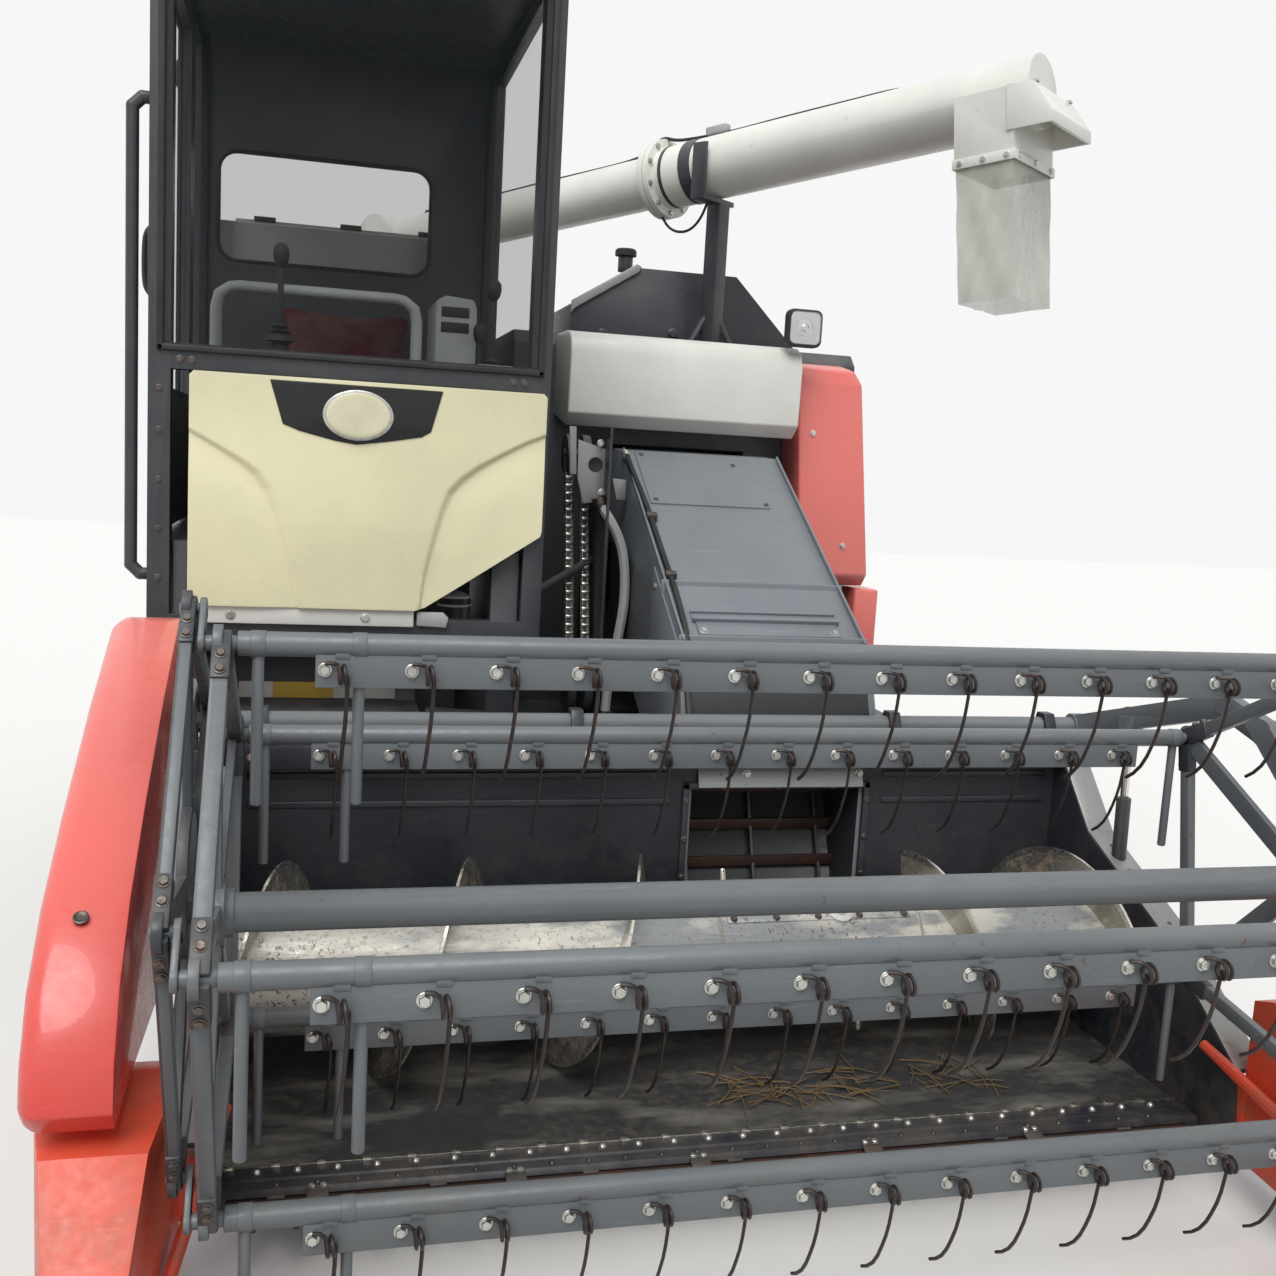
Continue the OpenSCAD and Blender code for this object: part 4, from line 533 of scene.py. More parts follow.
# Plate cut to an outline and extruded along an axis from a to b
def plate(outline, axis, a, b, edge=0.0, steps=2):
    clear()
    bpy.ops.mesh.primitive_circle_add(vertices=len(outline), radius=1, fill_type="NGON")
    o = bpy.context.object
    for vert, (u, v) in zip(o.data.vertices, outline):
        vert.co = at({"x": (a, u, v), "y": (u, a, v), "z": (u, v, a)}[axis])
    way = Vector([b - a if axis == k else 0 for k in "xyz"]) * MM
    open_mesh()
    bpy.ops.mesh.extrude_region_move(TRANSFORM_OT_translate={"value": way})
    close_outwards()
    return rounded(o, edge, steps) if edge else o


# Bent wire, tube or hose along a run of points
def bent(points, r, smooth=False, round_steps=1):
    clear()
    bpy.ops.curve.primitive_nurbs_path_add()
    o = bpy.context.object
    data = o.data
    data.splines.clear()
    s = data.splines.new("NURBS" if smooth else "POLY")
    s.points.add(len(points) - 1)
    for point, co in zip(s.points, points):
        point.co = (*at(co), 1)
    if smooth:
        s.order_u = 4
        s.use_endpoint_u = True
        s.resolution_u = 8
    data.bevel_depth = r * MM
    data.bevel_resolution = round_steps
    data.use_fill_caps = True
    only(o)
    bpy.ops.object.convert(target="MESH")
    return settle(bpy.context.object)


# Hexagon bolt with its washer, head towards the given side
def bolt(p, way, r=9.0, h=7.0):
    way = Vector(way).normalized()
    head = turned(p, way, [(-1, r), (h * 0.8, r), (h, r * 0.86)], 6)
    washer = turned(p, way, [(-1, r * 1.3), (h * 0.25, r * 1.3), (h * 0.32, r * 1.2)], 16)
    return together([head, washer])


# One bolt modelled, then a copy at each place
def bolts(places, way, name, body, r=9.0, h=7.0, finish="bolt"):
    first = places[0]
    one = bolt(first, way, r, h)
    row = spread(one, [[a - b for a, b in zip(p, first)] for p in places])
    return dress(row, name, finish, body)


# Copy of a node's mesh with its sharp edges rounded, shown in its place
def eased(node, edge, steps=2):
    source = nodes[node]
    o = twin(source)
    o.parent = None
    o.matrix_world = source.matrix_world
    settle(o)
    open_mesh()
    bpy.ops.mesh.remove_doubles(threshold=0.00002)
    bpy.ops.mesh.dissolve_limited(angle_limit=math.radians(0.6))
    close_mesh()
    rounded(o, edge, steps, 28)
    finish = next(k for k, names in CAD_FINISH.items() if node in names)
    return dress(o, node + "_eased", finish, BODY_OF[node], [node])


# Reel: its shaft, the circle of its bars, and the tines along a bar
REEL_Y, REEL_Z, REEL_R = -1975, 800, 450
BARS, FIRST_BAR, BAR_STEP = 5, 98.6, 72
BAR_X0, BAR_X1 = -1085, 926
CRANK_X0, CRANK_X1, CRANK = -1142, -1132, 45
FIRST_TINE, TINE_PITCH, TINES = -931, 131, 14
TINE_XS = [FIRST_TINE + k * TINE_PITCH for k in range(TINES)]
TINE_STEPS = [(k * TINE_PITCH, 0, 0) for k in range(TINES)]


def bar_angle(i):
    return math.radians(FIRST_BAR - BAR_STEP * i)


def bar_place(i):
    a = bar_angle(i)
    return REEL_Y + REEL_R * math.cos(a), REEL_Z + REEL_R * math.sin(a)


# Tine bars: tube over a flanged strip, spring tines wound in front of it
def tine_bars():
    x0, x1 = TINE_XS[0], TINE_XS[-1]
    strip = [(-14, -64), (-10, -64), (-10, -18), (12, -18), (12, -13), (-14, -13)]
    tube = [rod((BAR_X0, 0, 0), (BAR_X1, 0, 0), 19, 32, 2),
            rod((CRANK_X0, 0, 0), (BAR_X0 + 1, 0, 0), 12, 24, 1),
            rod((BAR_X1 - 1, 0, 0), (964, 0, 0), 12, 24, 1),
            plate(strip, "x", x0 - 40, x1 + 40, 1.4)]
    for x in (BAR_X0 + 30, BAR_X0 + 180, BAR_X1 - 16):
        tube.append(rod((x, 0, -250), (x, 0, 0), 9, 20, 3))
        tube.append(rod((x - 11, 0, 0), (x + 11, 0, 0), 20.5, 28, 1.4))
    # Crank that the eccentric spider holds level
    tube += [plate([(-13, 13), (13, -13), (58, 32), (32, 58)], "x", CRANK_X0, CRANK_X1, 3),
             rod((CRANK_X0, CRANK, CRANK), (CRANK_X1, CRANK, CRANK), 18, 28, 2),
             rod((CRANK_X0, 0, 0), (CRANK_X1, 0, 0), 18, 28, 2),
             rod((CRANK_X0 - 30, CRANK, CRANK), (CRANK_X0 + 2, CRANK, CRANK), 9, 20, 2)]
    tube.append(spread(block((x0 - 12, -16, -20), (x0 + 12, 12, -6), 3), TINE_STEPS))
    steel = together(tube)
    # Spring tine: foot under its nut, one and a half turns of coil, then the long finger
    coil_y, coil_z, coil_r, coil_steps, coil_points = -31, -40, 14, 12, 21
    path = [(x0 - 26, -19, -25), (x0 - 14, -22, -25)]
    for k in range(coil_points):
        a = math.radians(90 - k * 360 / coil_steps)
        path.append((x0 - 7 + 15 * k / (coil_points - 1), coil_y - coil_r * math.cos(a),
                     coil_z + coil_r * math.sin(a)))
    path += [(x0 + dx, y, z) for dx, y, z in (
        (8, -16, -60), (8, -13, -80), (7, -10, -105), (6, -4, -130), (4, 4, -155), (3, 14, -178),
        (2, 28, -200), (1, 46, -218), (0, 64, -230))]
    tines = spread(bent(path, 3.3), TINE_STEPS)
    nuts = spread(bolt((x0 - 26, -14, -36), (0, -1, 0), 8.5, 9), TINE_STEPS)
    sets = ((steel, "bar_tube", "reel"), (tines, "bar_tines", "tine"), (nuts, "bar_nuts", "bolt"))
    for i in range(BARS):
        y, z = bar_place(i)
        for source, name, finish in sets:
            c = twin(source)
            c.location = Vector((0, y, z)) * MM
            dress(c, "%s_%d" % (name, i + 1), finish, "tine_bar_%d" % (i + 1),
                  ["reel_bar_%d" % (i + 1)] if name == "bar_tube" else ())
    for o in (steel, tines, nuts):
        bpy.data.objects.remove(o)


# Where each spider stands along the shaft, in the body that it turns with
SPIDERS = {"reel": ((-1121, -1093), (937, 959)), "eccentric": ((-1169, -1147),)}


# Spiders: box-section chords between the bars, clamped blocks at the bars and their bolts
def reel_fittings():
    eased("reel_shaft", 2.5, 2)
    eased("reel_eccentric", 2.5, 2)
    eased("reel_arms", 3, 2)
    for body, spans in SPIDERS.items():
        shift = CRANK if body == "eccentric" else 0
        ends = [Vector((0, *(c + shift for c in bar_place(i)))) for i in range(BARS + 1)]
        chords, blocks, made = [], [], []
        for xa, xb in spans:
            for i in range(BARS):
                start, end = ends[i], ends[i + 1]
                a = bar_angle(i) - math.radians(BAR_STEP / 2)
                way, out = (end - start).normalized(), Vector((0, math.cos(a), math.sin(a)))
                p, q = start + way * 60, end - way * 60
                ring = [p + out * 15, q + out * 15, q - out * 15, p - out * 15]
                chords.append(plate([(v.y, v.z) for v in ring], "x", xa + 2, xb - 2, 3))
                for foot, along in ((start, way), (end, -way)):
                    u, v = foot - along * 4, foot + along * 76
                    ring = [u + out * 21, v + out * 19, v - out * 17, u - out * 19]
                    blocks.append(plate([(c.y, c.z) for c in ring], "x", xa, xb, 3))
                    for t in (34, 62):
                        c = foot + along * t + out * 19.5
                        made.append(((xa + xb) / 2, c.y, c.z, out))
        dress(together(chords), body + "_chords", "reel", body)
        dress(together(blocks), body + "_blocks", "charcoal", body)
        made = [bolt((x, y, z), out, 7, 6) for x, y, z, out in made]
        dress(together(made), body + "_block_bolts", "dark_bolt", body)
    hubs = [turned((x, REEL_Y, REEL_Z), (s, 0, 0), [(7, 55), (12, 55), (14, 52), (14, 40), (26, 38)], 40)
            for x, s in ((-1113, 1), (950, -1))]
    dress(together(hubs), "reel_hub_plates", "reel", "reel")
    ring = []
    for k in range(6):
        a = k * math.tau / 6
        ring.append((-1126, REEL_Y + 46 * math.cos(a), REEL_Z + 46 * math.sin(a)))
    bolts(ring, (-1, 0, 0), "reel_hub_bolts", "reel", 7, 5)
    arm_ends = []
    for x in (-1190, 1046):
        for y, z, rings, sides in ((-985, 905, [(-16, 34), (16, 34), (18, 32), (18, 12)], 32),
                                   (REEL_Y, REEL_Z, [(-16, 38), (16, 38), (18, 36), (18, 18)], 32),
                                   (-1570, 1076, [(-15, 24), (15, 24), (17, 22)], 24)):
            arm_ends.append(turned((x, y, z), (-1, 0, 0), rings, sides))
    dress(together(arm_ends), "reel_arm_caps", "reel", "reel_frame")


# Crop auger: drum and two runs of flighting (first and last x, hand, first angle)
AUGER_Y, AUGER_Z, AUGER_R, DRUM_R = -1215, 392, 240, 140
FLIGHTS = ((-1110, -60, -1, 156), (470, 970, 1, 78))
FLIGHT_PITCH, FLIGHT_T, FLIGHT_STEPS = 408, 5, 48


# Depth and height of a point at a radius and an angle round the auger's axis
def round_auger(r, degrees):
    a = math.radians(degrees)
    return AUGER_Y + r * math.cos(a), AUGER_Z + r * math.sin(a)


# One ribbon of flighting: a thin cross-section swept by the screw modifier
def flighting(x0, x1, hand, start, r0, r1, thick, offset=0.0):
    clear()
    bpy.ops.mesh.primitive_plane_add(size=1, location=at((x0, AUGER_Y, AUGER_Z)))
    o = bpy.context.object
    a = math.radians(start)
    for vert, (dx, r) in zip(o.data.vertices, ((0, r0), (0, r1), (thick, r0), (thick, r1))):
        vert.co = Vector((dx + offset, r * math.cos(a), r * math.sin(a))) * MM
    open_mesh()
    bpy.ops.mesh.delete(type="ONLY_FACE")
    close_mesh()
    m = o.modifiers.new("sweep", "SCREW")
    m.axis = "X"
    m.angle = math.tau * (x1 - x0) / FLIGHT_PITCH * hand
    m.screw_offset = (x1 - x0) * MM
    m.steps = m.render_steps = int(FLIGHT_STEPS * (x1 - x0) / FLIGHT_PITCH)
    m.use_merge_vertices = False
    apply_last(o)
    settle(o)
    open_mesh()
    bpy.ops.mesh.remove_doubles(threshold=0.00001)
    bpy.ops.mesh.fill_holes(sides=0)
    bpy.ops.mesh.normals_make_consistent(inside=False)
    close_mesh()
    return o


def crop_auger():
    drum = turned((-1120, AUGER_Y, AUGER_Z), (1, 0, 0),
                  [(0, 30), (2, 126), (0, 128), (0, 138), (2, DRUM_R), (2108, DRUM_R), (2110, 138),
                   (2110, 128), (2108, 126), (2110, 30)], 96)
    stub = rod((-1154, AUGER_Y, AUGER_Z), (1024, AUGER_Y, AUGER_Z), 25, 32, 2)
    dress(together([drum, stub]), "auger_drum", "drum", "crop_auger", ["header_auger"], 30)
    ribs = [flighting(*f, DRUM_R - 6, AUGER_R - 14, FLIGHT_T) for f in FLIGHTS]
    dress(together(ribs), "auger_flights", "worn", "crop_auger", smooth=40)
    rims = [flighting(*f, AUGER_R - 16, AUGER_R - 1, FLIGHT_T + 1.5, -0.75) for f in FLIGHTS]
    dress(together(rims), "flight_rims", "bright", "crop_auger", smooth=40)
    seam = [(-4, DRUM_R), (-2, DRUM_R + 1.6), (2, DRUM_R + 1.6), (4, DRUM_R)]
    seams = [turned((x, AUGER_Y, AUGER_Z), (1, 0, 0), seam, 96) for x in (-1090, -40, 462, 985)]
    dress(together(seams), "drum_weld_seams", "worn", "crop_auger")
    # Retracting fingers and the guides that they slide in
    fingers, feet = [], []
    for k in range(6):
        a = math.radians(70 + k * 137)
        way = (0, math.cos(a), math.sin(a))
        foot = (10 + k * 85, AUGER_Y + (DRUM_R - 4) * way[1], AUGER_Z + (DRUM_R - 4) * way[2])
        fingers.append(turned(foot, way, [(0, 8), (58, 8), (63, 6.5), (65, 3)], 20))
        feet.append(turned(foot, way, [(0, 30), (7, 30), (9, 27), (9, 14), (15, 12)], 24))
    dress(together(fingers), "auger_fingers", "bright", "crop_auger")
    dress(together(feet), "finger_guides", "strip_white", "crop_auger")
    # Bolted hatch on the drum's front between the flights
    turns = [86 + k * 5.5 for k in range(9)]
    hatch = [round_auger(DRUM_R + 2.5, a) for a in turns]
    hatch += [round_auger(DRUM_R - 1, a) for a in reversed(turns)]
    dress(plate(hatch, "x", -20, 440, 1.0), "drum_hatch", "drum", "crop_auger")
    for a in (90, 126):
        row = [(x, *round_auger(DRUM_R + 2.5, a)) for x in (-5, 100, 205, 310, 425)]
        way = (0, math.cos(math.radians(a)), math.sin(math.radians(a)))
        bolts(row, way, "hatch_bolts_%d" % a, "crop_auger", 7, 5, "dark_bolt")


# Inner faces of the header's side plates
HEADER_X0, HEADER_X1 = -1140, 1010

# Knife and cutter bar: place of the knife's edge, and its sections along the width
KNIFE_Y, KNIFE_Z, PITCH = -1705, 126, 76.2
SECTIONS = 27
FIRST_SECTION = -65 - 13 * PITCH
SECTION_STEPS = [(k * PITCH, 0, 0) for k in range(SECTIONS)]


def cutting_gear():
    eased("cutterbar", 1.2, 1)
    x, y, z = FIRST_SECTION, KNIFE_Y, KNIFE_Z
    half = PITCH / 2 - 1
    one = plate([(x - half, y + 27), (x + half, y + 27), (x + half, y + 8), (x + 7, y - 50), (x - 7, y - 50),
                 (x - half, y + 8)], "z", z - 0.2, z + 2.8)
    # The top face is raised a little inside a bevelled edge
    open_mesh("DESELECT")
    close_mesh()
    for f in one.data.polygons:
        f.select = f.normal.z > 0.9
    bpy.ops.object.mode_set(mode="EDIT")
    bpy.ops.mesh.select_mode(type="FACE")
    bpy.ops.mesh.inset(thickness=8 * MM, depth=0)
    bpy.ops.transform.translate(value=(0, 0, 1.4 * MM))
    bpy.ops.mesh.select_mode(type="VERT")
    close_mesh()
    back = ((HEADER_X0 + 32, y + 8, z - 3), (HEADER_X1 - 32, y + 28, z + 3.6))
    sections = together([spread(one, SECTION_STEPS), block(*back, 1)])
    dress(sections, "knife_sections", "knife", "knife_body", ["knife"], 20)
    rivets = [(x + k * PITCH + e, y + 18, z + 3) for k in range(SECTIONS) for e in (-16, 16)]
    one = turned(rivets[0], (0, 0, 1), [(0, 5.5), (0.5, 5.2), (0.8, 4)], 8)
    dress(spread(one, [(r[0] - rivets[0][0], 0, 0) for r in rivets]), "knife_rivets", "dark_bolt", "knife_body")
    one = turned((x, y + 38, z + 9), (0, 0, 1), [(-3, 10), (2, 10), (5, 8), (7, 4)], 14)
    dress(spread(one, SECTION_STEPS), "guard_bolts", "bolt", "header")
    held = [k + 0.5 for k in range(1, SECTIONS - 1, 5)]
    clip = plate([(y + 6, z + 6), (y + 40, z + 9), (y + 46, z + 15), (y + 24, z + 17), (y + 4, z + 10)],
                 "x", x - 21, x + 21, 1.5)
    dress(spread(clip, [(k * PITCH, 0, 0) for k in held]), "knife_clips", "dark_bolt", "header")
    bolts([(x + k * PITCH + e, y + 32, z + 15) for k in held for e in (-11, 11)], (0, 0, 1), "clip_bolts",
          "header", 7, 6)


# Header trough: worn floor plate, bright front lip, mouth frame, flange caps and rivets
TROUGH_R = 255
TROUGH_TURNS = [-100 + k * 7.5 for k in range(12)]


# One row of small turned heads over the knife's sections
def stud_row(y, rings, sides, steps, name, finish):
    stud = turned((FIRST_SECTION, y, 145), (0, 0, 1), rings, sides)
    dress(spread(stud, [(k * PITCH, 0, 0) for k in steps]), name, finish, "header")


def header_details():
    eased("header_shell", 1.6, 2)
    upper = [(-1640, 139.2)] + [round_auger(TROUGH_R - 1.2, a) for a in TROUGH_TURNS]
    lower = [round_auger(TROUGH_R - 0.2, a) for a in reversed(TROUGH_TURNS)] + [(-1640, 138.2)]
    liner = plate(upper + lower, "x", HEADER_X0 + 1, HEADER_X1 - 1)
    dress(liner, "trough_liner", "floor", "header", smooth=30)
    x0, x1 = HEADER_X0 + 4, HEADER_X1 - 4
    strip = plate([(-1684, 134), (-1676, 146), (-1602, 146), (-1598, 141), (-1598, 136)], "x", x0, x1, 1.5)
    step = plate([(-1650, 145), (-1646, 150), (-1634, 150), (-1630, 145)], "x", x0, x1, 1)
    dress(together([strip, step]), "knife_back_strip", "inside", "header")
    lip = plate([(-1600, 138), (-1592, 138), (-1592, 147), (-1600, 149)], "x", x0, x1, 1)
    dress(lip, "floor_lip", "bright", "header")
    clip = block((-1118, -1606, 140), (-1100, -1588, 151), 1.5)
    dress(spread(clip, [(k * 88, 0, 0) for k in range(24)]), "lip_clips", "bright", "header")
    stud_row(-1618, [(-1, 9), (3, 8.5), (7, 6), (9, 3)], 16, range(SECTIONS), "strip_studs", "bolt")
    stud_row(-1664, [(-1, 6), (3, 5), (5, 3)], 12, [k + 0.5 for k in range(SECTIONS - 1)], "strip_rivets",
             "dark_bolt")
    # Frame round the feeder's mouth with its bolts, the plate above it and the conveyor inside
    border = [block((-46, -968, 330), (-30, -954, 746), 2), block((450, -968, 330), (466, -954, 746), 2),
              block((-46, -968, 730), (466, -954, 746), 2)]
    dress(together(border), "mouth_frame", "inside", "header")
    around = [(x, -968, z) for x in (-38, 458) for z in (400, 500, 600, 700)]
    around += [(x, -968, 738) for x in (60, 210, 360)]
    bolts(around, (0, -1, 0), "mouth_bolts", "header", 7, 5, "dark_bolt")
    flap = plate([(-962, 792), (-959, 794), (-977, 738), (-981, 738)], "x", -10, 440, 1)
    dress(flap, "mouth_deflector", "sheet", "header")
    slats = []
    for t in (0.12, 0.36, 0.6, 0.84):
        y, z = -858 + 168 * t, 330 + 384.5 * t
        slat = [(y - 14, z + 6), (y + 6, z + 2), (y - 2, z + 34), (y - 22, z + 36)]
        slats.append(plate(slat, "x", -24, 444, 2))
    dress(together(slats), "conveyor_slats", "knife", "header")
    chains = [bent([(x, -868, 344), (x, -706, 716)], 7) for x in (20, 210, 400)]
    dress(together(chains), "conveyor_chains", "dark_bolt", "header")
    beam = plate([(-1012, 796), (-952, 796), (-952, 852), (-1012, 852)], "x", -1212, 1072, 4)
    dress(beam, "back_beam_cover", "inside", "header")
    along = (-1100, -800, -500, -200, 90, 390, 690, 960)
    bolts([(x, -1012, 824) for x in along], (0, -1, 0), "beam_bolts", "header", 8, 6)
    bolts([(x, -968, 770) for x in (120, 430)], (0, -1, 0), "ledge_bolts", "header", 9, 7)
    # Chopped straw left in the trough behind the knife
    chance = random.Random(7)
    straws = []
    for k in range(70):
        x, y = chance.uniform(-60, 620), chance.uniform(-1480, -1340)
        a, length = chance.uniform(0, math.pi), chance.uniform(25, 70)
        z = 139.5 if y < -1259 else round_auger(TROUGH_R, 270)[1]
        z += chance.uniform(2, 8)
        tail = (x - length * math.cos(a), y - length * math.sin(a), z)
        tip = (x + length * math.cos(a + 0.2), y + length * math.sin(a + 0.2), z + 1)
        straws.append(bent([tail, (x, y, z + 3), tip], 1.6, round_steps=0))
    dress(together(straws), "straw_bits", "straw", "header", smooth=0)
    # Stiffening ribs pressed into the back wall on both sides of the mouth
    ribs = [block((xa, -965, z), (xb, -959, z + 16), 2.6, 3)
            for xa, xb in ((-1110, -80), (500, 980)) for z in (690, 760)]
    dress(together(ribs), "back_wall_ribs", "inside", "header")
    # Worn caps on the side plates' top flanges, with their bolts
    flange = [(-1012, 802), (-1146, 654.5), (-1488, 501.5), (-1774, 302)]
    caps = [plate([a, b, (b[0] + 1.5, b[1] + 3.5), (a[0] + 1.5, a[1] + 3.5)], "x", xa, xa + 72, 1)
            for xa in (HEADER_X0 - 74, HEADER_X1 + 2) for a, b in zip(flange, flange[1:])]
    dress(together(caps), "flange_caps", "sheet", "header")
    heads = [(x, -1145 - 342 * t, 653 - 153 * t) for x in (HEADER_X0 - 38, HEADER_X1 + 38)
             for t in (0.15, 0.4, 0.65, 0.9)]
    bolts(heads, (0, -0.41, 0.91), "flange_bolts", "header", 7, 5, "dark_bolt")


# Feeder house: sheets over its sloping top, corner bolts, lips and hose
FEEDER_SLOPE = (0, -0.5223, 0.8528)


def feeder_top(y):
    return 1090 + (y + 875) * 0.6125


# Point over the sloping top
def on_feeder(x, y, lift):
    return x, y, feeder_top(y) + lift


# Sheet lying on the sloping top between two depths
def feeder_sheet(x0, x1, y0, y1, thick, edge=1.0):
    z0, z1 = feeder_top(y0), feeder_top(y1)
    back = thick * 0.52
    return plate([(y0, z0 - 1), (y1, z1 - 1), (y1 - back, z1 + thick), (y0 - back, z0 + thick)],
                 "x", x0, x1, edge)


def feeder_details():
    eased("feeder_house", 4, 2)
    dress(feeder_sheet(-7, 366, -325, -80, 4), "feeder_hatch", "feeder", "header")
    dress(feeder_sheet(8, 404, -845, -800, 5), "feeder_lower_hatch", "feeder", "header")
    lips = [feeder_sheet(0, 412, -800, -790, 14, 2), feeder_sheet(0, 412, -768, -762, 9, 2),
            feeder_sheet(0, 412, -800, -762, 3)]
    dress(together(lips), "feeder_lips", "feeder", "header")
    edges = [feeder_sheet(x0, x0 + 7, -872, -80, 12, 2) for x0 in (-45, 458)]
    dress(together(edges), "feeder_edges", "feeder", "header")
    corners = [on_feeder(x, y, 3) for x, y in ((12, -98), (302, -129), (12, -310), (356, -312))]
    bolts(corners, FEEDER_SLOPE, "hatch_corner_bolts", "header", 8, 5, "dark_bolt")
    lower = [on_feeder(x, -832, 4) for x in (22, 390)]
    bolts(lower, FEEDER_SLOPE, "lower_hatch_bolts", "header", 9, 7)
    side = [(-870, 760), (-870, 1070), (-560, 1262), (-560, 960)]
    sides = [plate(side, "x", x0, x0 + 6, 2) for x0 in (-51, 465)]
    dress(together(sides), "feeder_side_plates", "feeder", "header")
    side_heads = [(-51, -850, 800), (-51, -850, 1040), (-51, -590, 1010), (-51, -590, 1210)]
    bolts(side_heads, (-1, 0, 0), "feeder_side_bolts", "header", 8, 6)
    front = [block((-57, -975, 872), (477, -955, 884), 2),
             plate([(-957, 884), (-955, 884), (-872, 1094), (-876, 1094)], "x", -57, 477, 1.5)]
    dress(together(front), "feeder_front_sheet", "feeder", "header")
    # Hose down the feeder's edge to the header's drive, with a fitting at each end
    run = [(-40, -100), (-37, -218), (-27, -315), (-26, -441), (-26, -590), (-22, -683), (-27, -790),
           (-31, -868)]
    path = [(x, y - 6, feeder_top(y) + 10) for x, y in run]
    path += [(-40, -912, 1010), (-44, -962, 940), (-44, -990, 880), (-44, -990, 850)]
    dress(bent(path, 9, True, 2), "feeder_hose", "black", "header")
    nuts = [turned((-44, -990, 853), (0, 0, 1), [(-4, 14), (12, 14), (14, 12), (24, 11)], 24),
            turned(on_feeder(-40, -112, 9), (0, -0.85, -0.52), [(-10, 13), (10, 13), (14, 11), (26, 10)], 24)]
    dress(together(nuts), "feeder_hose_fittings", "bolt", "header")
    clamps = [feeder_sheet(-40, -8, y - 8, y + 8, 22, 3) for y in (-400, -640)]
    dress(together(clamps), "hose_clamps", "dark_bolt", "header")


# Gear beside the feeder: bracket plates, two roller chains, the grey hose and the filter
CHAIN_PITCH, CHAIN_LINKS = 25.4, 28


def feeder_side_gear():
    holder = plate([(-218, 1603), (-129, 1577), (-120, 1420), (-196, 1417), (-215, 1489)], "y", -246, -240, 2)
    small = [plate([(-247, 1640), (-226, 1640), (-219, 1500), (-240, 1500)], "y", -250, -244, 2),
             plate([(-100, 1494), (-56, 1491), (-56, 1431), (-84, 1429)], "y", -206, -200, 2)]
    dress(together([holder] + small), "chain_brackets", "sheet", "root")
    # Black disc painted on the bracket as the shade inside its hole
    hole = turned((-163, -245, 1532), (0, -1, 0), [(-1, 22), (2, 22), (2.6, 19), (1.6, 17)], 32)
    dress(hole, "bracket_hole_shade", "black", "root")
    bolts([(-150, -246, 1595), (-140, -246, 1450)], (0, -1, 0), "bracket_bolts", "root", 9, 7)
    # Roller chains: one link modelled, then repeated down each run
    top = Vector((0, -60, 1560))
    way = (Vector((0, -240, 860)) - top).normalized()
    front = Vector((0, way.z, -way.y))
    for x, name in ((-210, "outer"), (-160, "inner")):
        p = top + Vector((x, 0, 0)) + front * 10
        half = Vector((11, 0, 0))
        link = [rod(p - half, p + half, 6, 10, 1)]
        for e in (-10, 10):
            side = p + Vector((e, 0, 0))
            link.append(bent([side, side + way * CHAIN_PITCH], 4.2, round_steps=0))
        links = spread(together(link), [way * CHAIN_PITCH * k for k in range(CHAIN_LINKS)])
        dress(links, "chain_links_" + name, "bright", "root")
    hose = bent([(-150, -270, 1420), (-132, -285, 1391), (-90, -292, 1336), (-66, -292, 1240),
                 (-62, -292, 1126), (-74, -290, 1040), (-84, -284, 960), (-94, -272, 880), (-98, -266, 820),
                 (-98, -264, 764)], 15, True, 2)
    dress(hose, "curved_grey_hose", "grey", "root")
    fittings = [turned((-98, -264, 760.5), (0, 0, 1), [(0, 26), (10, 26), (13, 22), (34, 20)], 28),
                turned((-150, -270, 1424), (0.3, -0.1, -0.9), [(-12, 21), (8, 21), (11, 18), (26, 17)], 28)]
    dress(together(fittings), "grey_hose_fittings", "dark_bolt", "root")
    eased("drive_gear", 1.5, 1)
    canister = [turned((-590, -475, 1150), (0, 0, 1), [(0, 46), (6, 44), (12, 30), (18, 14)], 32)]
    for z in (1030, 1130):
        canister.append(turned((-590, -475, z), (0, 0, 1), [(-3, 46), (-1, 47.5), (1, 47.5), (3, 46)], 40))
    dress(together(canister), "filter_cap", "white", "root")


# Cream front panel: one pressed sheet with two creases that sweep down to its middle
PANEL_X0, PANEL_X1, PANEL_Z0, PANEL_Z1 = -1270, -395, 1136, 1706
PANEL_Y = -701.3
LEFT_CREASE = [(-1270, 1564, 2), (-1206, 1529, 4), (-1151, 1497, 8), (-1111, 1467, 13), (-1084, 1428, 15),
               (-1066, 1384, 13), (-1051, 1333, 11), (-1034, 1274, 8), (-1018, 1214, 5), (-1005, 1136, 2)]
RIGHT_CREASE = [(-395, 1600, 2), (-445, 1578, 3), (-506, 1544, 6), (-564, 1509, 9), (-608, 1474, 11),
                (-636, 1441, 11), (-652, 1400, 9), (-666, 1350, 8), (-681, 1288, 6), (-694, 1225, 4),
                (-704, 1136, 2)]
CREASE_DEPTH = 13


# Signed distance from a crease line and its half width there; positive on the outer, lower side
def crease_at(line, x, z, outer):
    best = None
    for (xa, za, wa), (xb, zb, wb) in zip(line, line[1:]):
        dx, dz = xb - xa, zb - za
        t = max(0, min(1, ((x - xa) * dx + (z - za) * dz) / (dx * dx + dz * dz)))
        px, pz = xa + t * dx, za + t * dz
        d = math.hypot(x - px, z - pz)
        if best is None or d < best[0]:
            side = (dx * (z - za) - dz * (x - xa)) * outer
            best = (d, 1 if side > 0 else -1, wa + (wb - wa) * t)
    return best[0] * best[1], best[2]


